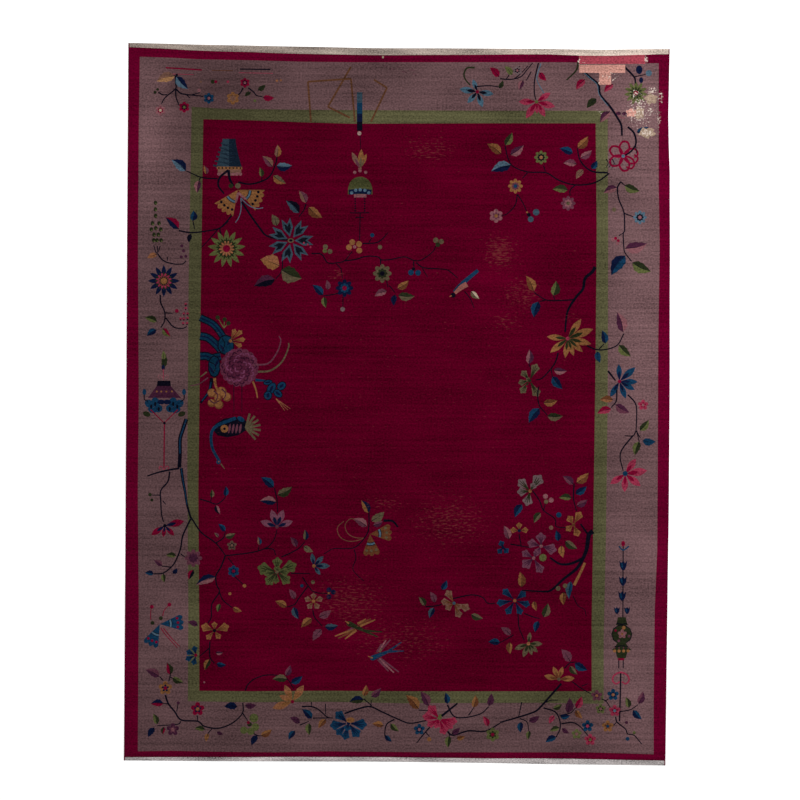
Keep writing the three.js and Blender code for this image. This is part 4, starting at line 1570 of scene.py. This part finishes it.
def cloth_material(name):
    """A matt woollen or cotton material: its shader and a Value to build what feeds it."""
    material = bpy.data.materials.new(name)
    material.use_nodes = True
    shader = material.node_tree.nodes["Principled BSDF"]
    shader.inputs["Roughness"].default_value = 0.95
    shader.inputs["Specular IOR Level"].default_value = 0.0
    return material, shader, Value(material.node_tree)


def stretched_noise(value, across, lengthwise, detail=2.0):
    """Noise with so many grains a metre across the rug and along it, from 0 to 1."""
    where = value.node("ShaderNodeTexCoord", output="Object")
    scaled = value.node("ShaderNodeVectorMath", {"operation": "MULTIPLY"}, _0=where,
                        _1=(across, lengthwise, 1.0))
    return value.node("ShaderNodeTexNoise", Vector=scaled, Scale=1.0, Detail=detail)


WOOL_DEPTH = 0.68
RUBBED_DYE = "66332c"
COTTON = "b4a69c"
wool, wool_shader, value = cloth_material("wool_pile")
dyed = value.node("ShaderNodeAttribute", {"attribute_name": "dye"})
fade_and_painted_light_share = value.node("ShaderNodeAttribute", {"attribute_name": "dye"}, output="Alpha")
faded_and_painted_light, rubbed, bare = (value.node("ShaderNodeAttribute", {"attribute_name": name}, output="Fac")
                       for name in ("faded_and_painted_light", "rubbed", "bare"))
streak = stretched_noise(value, 1.5, 70.0)
mottle = stretched_noise(value, 3.0, 5.0, detail=4.0)
grain = stretched_noise(value, 110.0, 130.0, detail=3.0)
uneven = 1.0 + 0.9 * (streak - 0.5) + 0.9 * (mottle - 0.5) + 2.0 * (grain - 0.5)
# Fading and painted light: the wool is made lighter where the first zone table reaches, most down the
# right border.
tone = WOOL_DEPTH * (1.0 + faded_and_painted_light * fade_and_painted_light_share) * uneven
colour = value.node("ShaderNodeVectorMath", {"operation": "SCALE"}, _0=dyed, Scale=tone)
fleck = stretched_noise(value, 45.0, 130.0, detail=4.0)
grit = stretched_noise(value, 105.0, 120.0, detail=3.0)
for noise, strength, sharpness, most, fleck_dye in ((fleck, rubbed, 4.0, 0.5, RUBBED_DYE),
                                                    (grit, bare, 8.0, 0.9, COTTON)):
    shows = value.node("ShaderNodeMath", {"operation": "MULTIPLY", "use_clamp": True},
                       _0=noise - 1.0 + strength, _1=sharpness)
    shows = most * shows
    colour = value.node("ShaderNodeMix", {"data_type": "RGBA"}, output=2, _0=shows, _6=colour,
                        _7=(*linear(fleck_dye), 1.0))
bump = value.node("ShaderNodeBump", Height=grain, Strength=0.25, Distance=0.002)
wool.node_tree.links.new(colour.socket, wool_shader.inputs["Base Color"])
wool.node_tree.links.new(bump.socket, wool_shader.inputs["Normal"])
pile_mesh.materials.append(wool)

# The webs
# At each end the warps are woven on without pile into a narrow flat web of undyed cotton, and the
# rug is cut off there. Each row of weft stands up as a rib.
UPPER_COTTON = "7d726a"
LOWER_COTTON = "958f8e"
RIB_PITCH = 0.004
RIB_RELIEF = 0.0008
WEB_COLUMNS = 260
WEB_UNDER_PILE = 0.004


def slab(name, top, material):
    """A closed object between the floor and a grid of top points, whose rows run along it."""
    rows, columns = top.shape[:2]
    under = top * (1, 1, 0)
    vertices = np.vstack((top.reshape(-1, 3), under.reshape(-1, 3)))
    cell = np.arange(rows * columns).reshape(rows, columns)
    lift = rows * columns
    quads = np.stack((cell[:-1, :-1], cell[:-1, 1:], cell[1:, 1:], cell[1:, :-1]), axis=-1).reshape(-1,
                                                                                                    4)
    ring = np.concatenate((cell[0, :-1], cell[:-1, -1], cell[-1, :0:-1], cell[:0:-1, 0]))
    after = np.roll(ring, -1)
    sides = np.column_stack((ring, ring + lift, after + lift, after))
    mesh = bpy.data.meshes.new(name)
    mesh.from_pydata(vertices.tolist(), [], np.vstack((quads, quads[:, ::-1] + lift, sides)).tolist())
    mesh.materials.append(material)
    made = bpy.data.objects.new(name, mesh)
    bpy.context.scene.collection.objects.link(made)
    return made


def web_cotton(name, dye, painted_light_slope):
    """Undyed cotton gone grey and speckled with dirt, with painted light rising towards the right by a
    share a metre.
    """
    material, shader, value = cloth_material(name)
    speckle = stretched_noise(value, 130.0, 260.0)
    cloud = stretched_noise(value, 4.0, 30.0)
    across = value.node("ShaderNodeSeparateXYZ",
                        Vector=value.node("ShaderNodeTexCoord", output="Object"))
    # Painted light: the cotton grows lighter towards the right, as if more light fell there.
    painted_light = 1.0 + painted_light_slope * value.math("MAXIMUM", across, 0.0)
    tone = painted_light * (1.0 + 2.8 * (speckle - 0.5) + 2.0 * (cloud - 0.5))
    colour = value.node("ShaderNodeVectorMath", {"operation": "SCALE"}, _0=tuple(linear(dye)),
                        Scale=tone)
    material.node_tree.links.new(colour.socket, shader.inputs["Base Color"])
    return material


def web(name, outer, inner, outward, dye, painted_light_slope):
    """One end's web, from the cut edge to a little way under the pile."""
    left, right = np.interp(outer[1][0], *LEFT), np.interp(outer[1][0], *RIGHT)
    x = np.linspace(left, right, WEB_COLUMNS)
    cut, start = np.interp(x, *outer), np.interp(x, *inner) - outward * WEB_UNDER_PILE
    rib_rows = 4 * round(np.mean(np.abs(cut - start)) / RIB_PITCH) + 1
    share = np.linspace(0, 1, rib_rows)[:, None]
    y = start + share * (cut - start)
    z = WEB_THICK - RIB_RELIEF * (0.5 - 0.5 * np.cos(0.5 * np.pi * np.arange(rib_rows)))[:, None]
    top = np.dstack((np.broadcast_to(x, y.shape), y, np.broadcast_to(z, y.shape)))
    return slab(name, top if outward > 0 else top[::-1], web_cotton(name, dye, painted_light_slope))


# Only the upper web has painted light, lighter towards its right end; the lower web has none.
webs = [web("web_upper", UPPER, PILE_UPPER, 1, UPPER_COTTON, 0.75),
        web("web_lower", LOWER, PILE_LOWER, -1, LOWER_COTTON, 0.0)]

# The side cords
# The outermost warps on each side are overcast with crimson wool as the weaving goes on, so the
# edge is a cord with one ridge for each turn of the wool.
CORD_RADIUS = 0.0028
CORD_TURN = 0.010
CORD_RINGS_PER_TURN = 3
CORD_SIDES = 8
CORD_RIDGE = 0.12


def side_cord(name, line, outward):
    """The overcast cord along one side, its outer edge on the cloth's own edge."""
    low = np.interp(line[1][0], *LOWER)
    y = np.arange(low, np.interp(line[1][-1], *UPPER), CORD_TURN / CORD_RINGS_PER_TURN)
    middle = np.interp(y, *line) - outward * CORD_RADIUS
    around = np.linspace(0, 2 * math.pi, CORD_SIDES, endpoint=False)
    twist = 2 * math.pi * y[:, None] / CORD_TURN + around
    radius = CORD_RADIUS * (1 - CORD_RIDGE * (0.5 + 0.5 * np.sin(twist)))
    x = middle[:, None] + radius * np.cos(around)
    z = CORD_RADIUS + radius * np.sin(around)
    vertices = np.dstack((x, np.broadcast_to(y[:, None], x.shape), z)).reshape(-1, 3)
    ring = np.arange(CORD_SIDES)
    after = np.roll(ring, -1)
    base = CORD_SIDES * np.arange(len(y) - 1)[:, None]
    quads = np.stack((base + after, base + ring, base + CORD_SIDES + ring, base + CORD_SIDES + after),
                     axis=-1)
    caps = [ring.tolist(), (CORD_SIDES * (len(y) - 1) + ring[::-1]).tolist()]
    mesh = bpy.data.meshes.new(name)
    mesh.from_pydata(vertices.tolist(), [], quads.reshape(-1, 4).tolist() + caps)
    mesh.materials.append(cord_wool)
    made = bpy.data.objects.new(name, mesh)
    bpy.context.scene.collection.objects.link(made)
    return made


cord_wool, cord_shader, _ = cloth_material("cord_wool")
cord_shader.inputs["Base Color"].default_value = (*linear(GUARD), 1.0)
cords = [side_cord("cord_left", LEFT, -1), side_cord("cord_right", RIGHT, 1)]

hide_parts("rug")
for piece in [rug_pile, *webs, *cords]:
    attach(piece, "root")

# Floor, light and camera
# The rug lies on a plain pale floor under soft light, a little stronger from the upper right. The
# camera hangs straight above it.
FLOOR_SIZE = 60.0
CAMERA_HEIGHT = 10.0
PICTURE_SIDE = CARTOON_SQUARES * SQUARE
LENS = 90.0
ROOM_LIGHT = 0.8
WINDOW_SIZE = 3.0
WINDOW_WATTS = 320.0
WINDOW_PLACE = (1.7, 1.8, 5.5)
WINDOW_AIM = Vector((0.3, 0.3, 0.0))

floor_mesh = bpy.data.meshes.new("floor")
half_floor = FLOOR_SIZE / 2
floor_corners = [(x * half_floor, y * half_floor, 0.0) for x, y in ((-1, -1), (1, -1), (1, 1), (-1, 1))]
floor_mesh.from_pydata(floor_corners, [], [(0, 1, 2, 3)])
floor_paint, floor_shader, _ = cloth_material("floor_paint")
floor_shader.inputs["Base Color"].default_value = (0.9, 0.9, 0.9, 1.0)
floor_mesh.materials.append(floor_paint)
floor = bpy.data.objects.new("floor", floor_mesh)
bpy.context.scene.collection.objects.link(floor)

world = bpy.data.worlds.new("room")
world.use_nodes = True
world.node_tree.nodes["Background"].inputs["Color"].default_value = (1.0, 1.0, 1.0, 1.0)
world.node_tree.nodes["Background"].inputs["Strength"].default_value = ROOM_LIGHT
bpy.context.scene.world = world

lamp = bpy.data.lights.new("window", "AREA")
lamp.shape = "DISK"
lamp.size = WINDOW_SIZE
lamp.energy = WINDOW_WATTS
window = bpy.data.objects.new("window", lamp)
window.location = WINDOW_PLACE
window.rotation_euler = (WINDOW_AIM - window.location).to_track_quat("-Z", "Y").to_euler()
bpy.context.scene.collection.objects.link(window)

picture_middle = on_rug([(CARTOON_SQUARES / 2, CARTOON_SQUARES / 2)])[0]
lens = bpy.data.cameras.new("camera")
lens.lens = LENS
lens.sensor_width = LENS * PICTURE_SIDE / CAMERA_HEIGHT
camera = bpy.data.objects.new("camera", lens)
camera.location = (*picture_middle, CAMERA_HEIGHT)
camera.rotation_euler = (0.0, 0.0, CARTOON_TURN)
bpy.context.scene.collection.objects.link(camera)
bpy.context.scene.camera = camera
bpy.context.scene.view_settings.view_transform = "Standard"
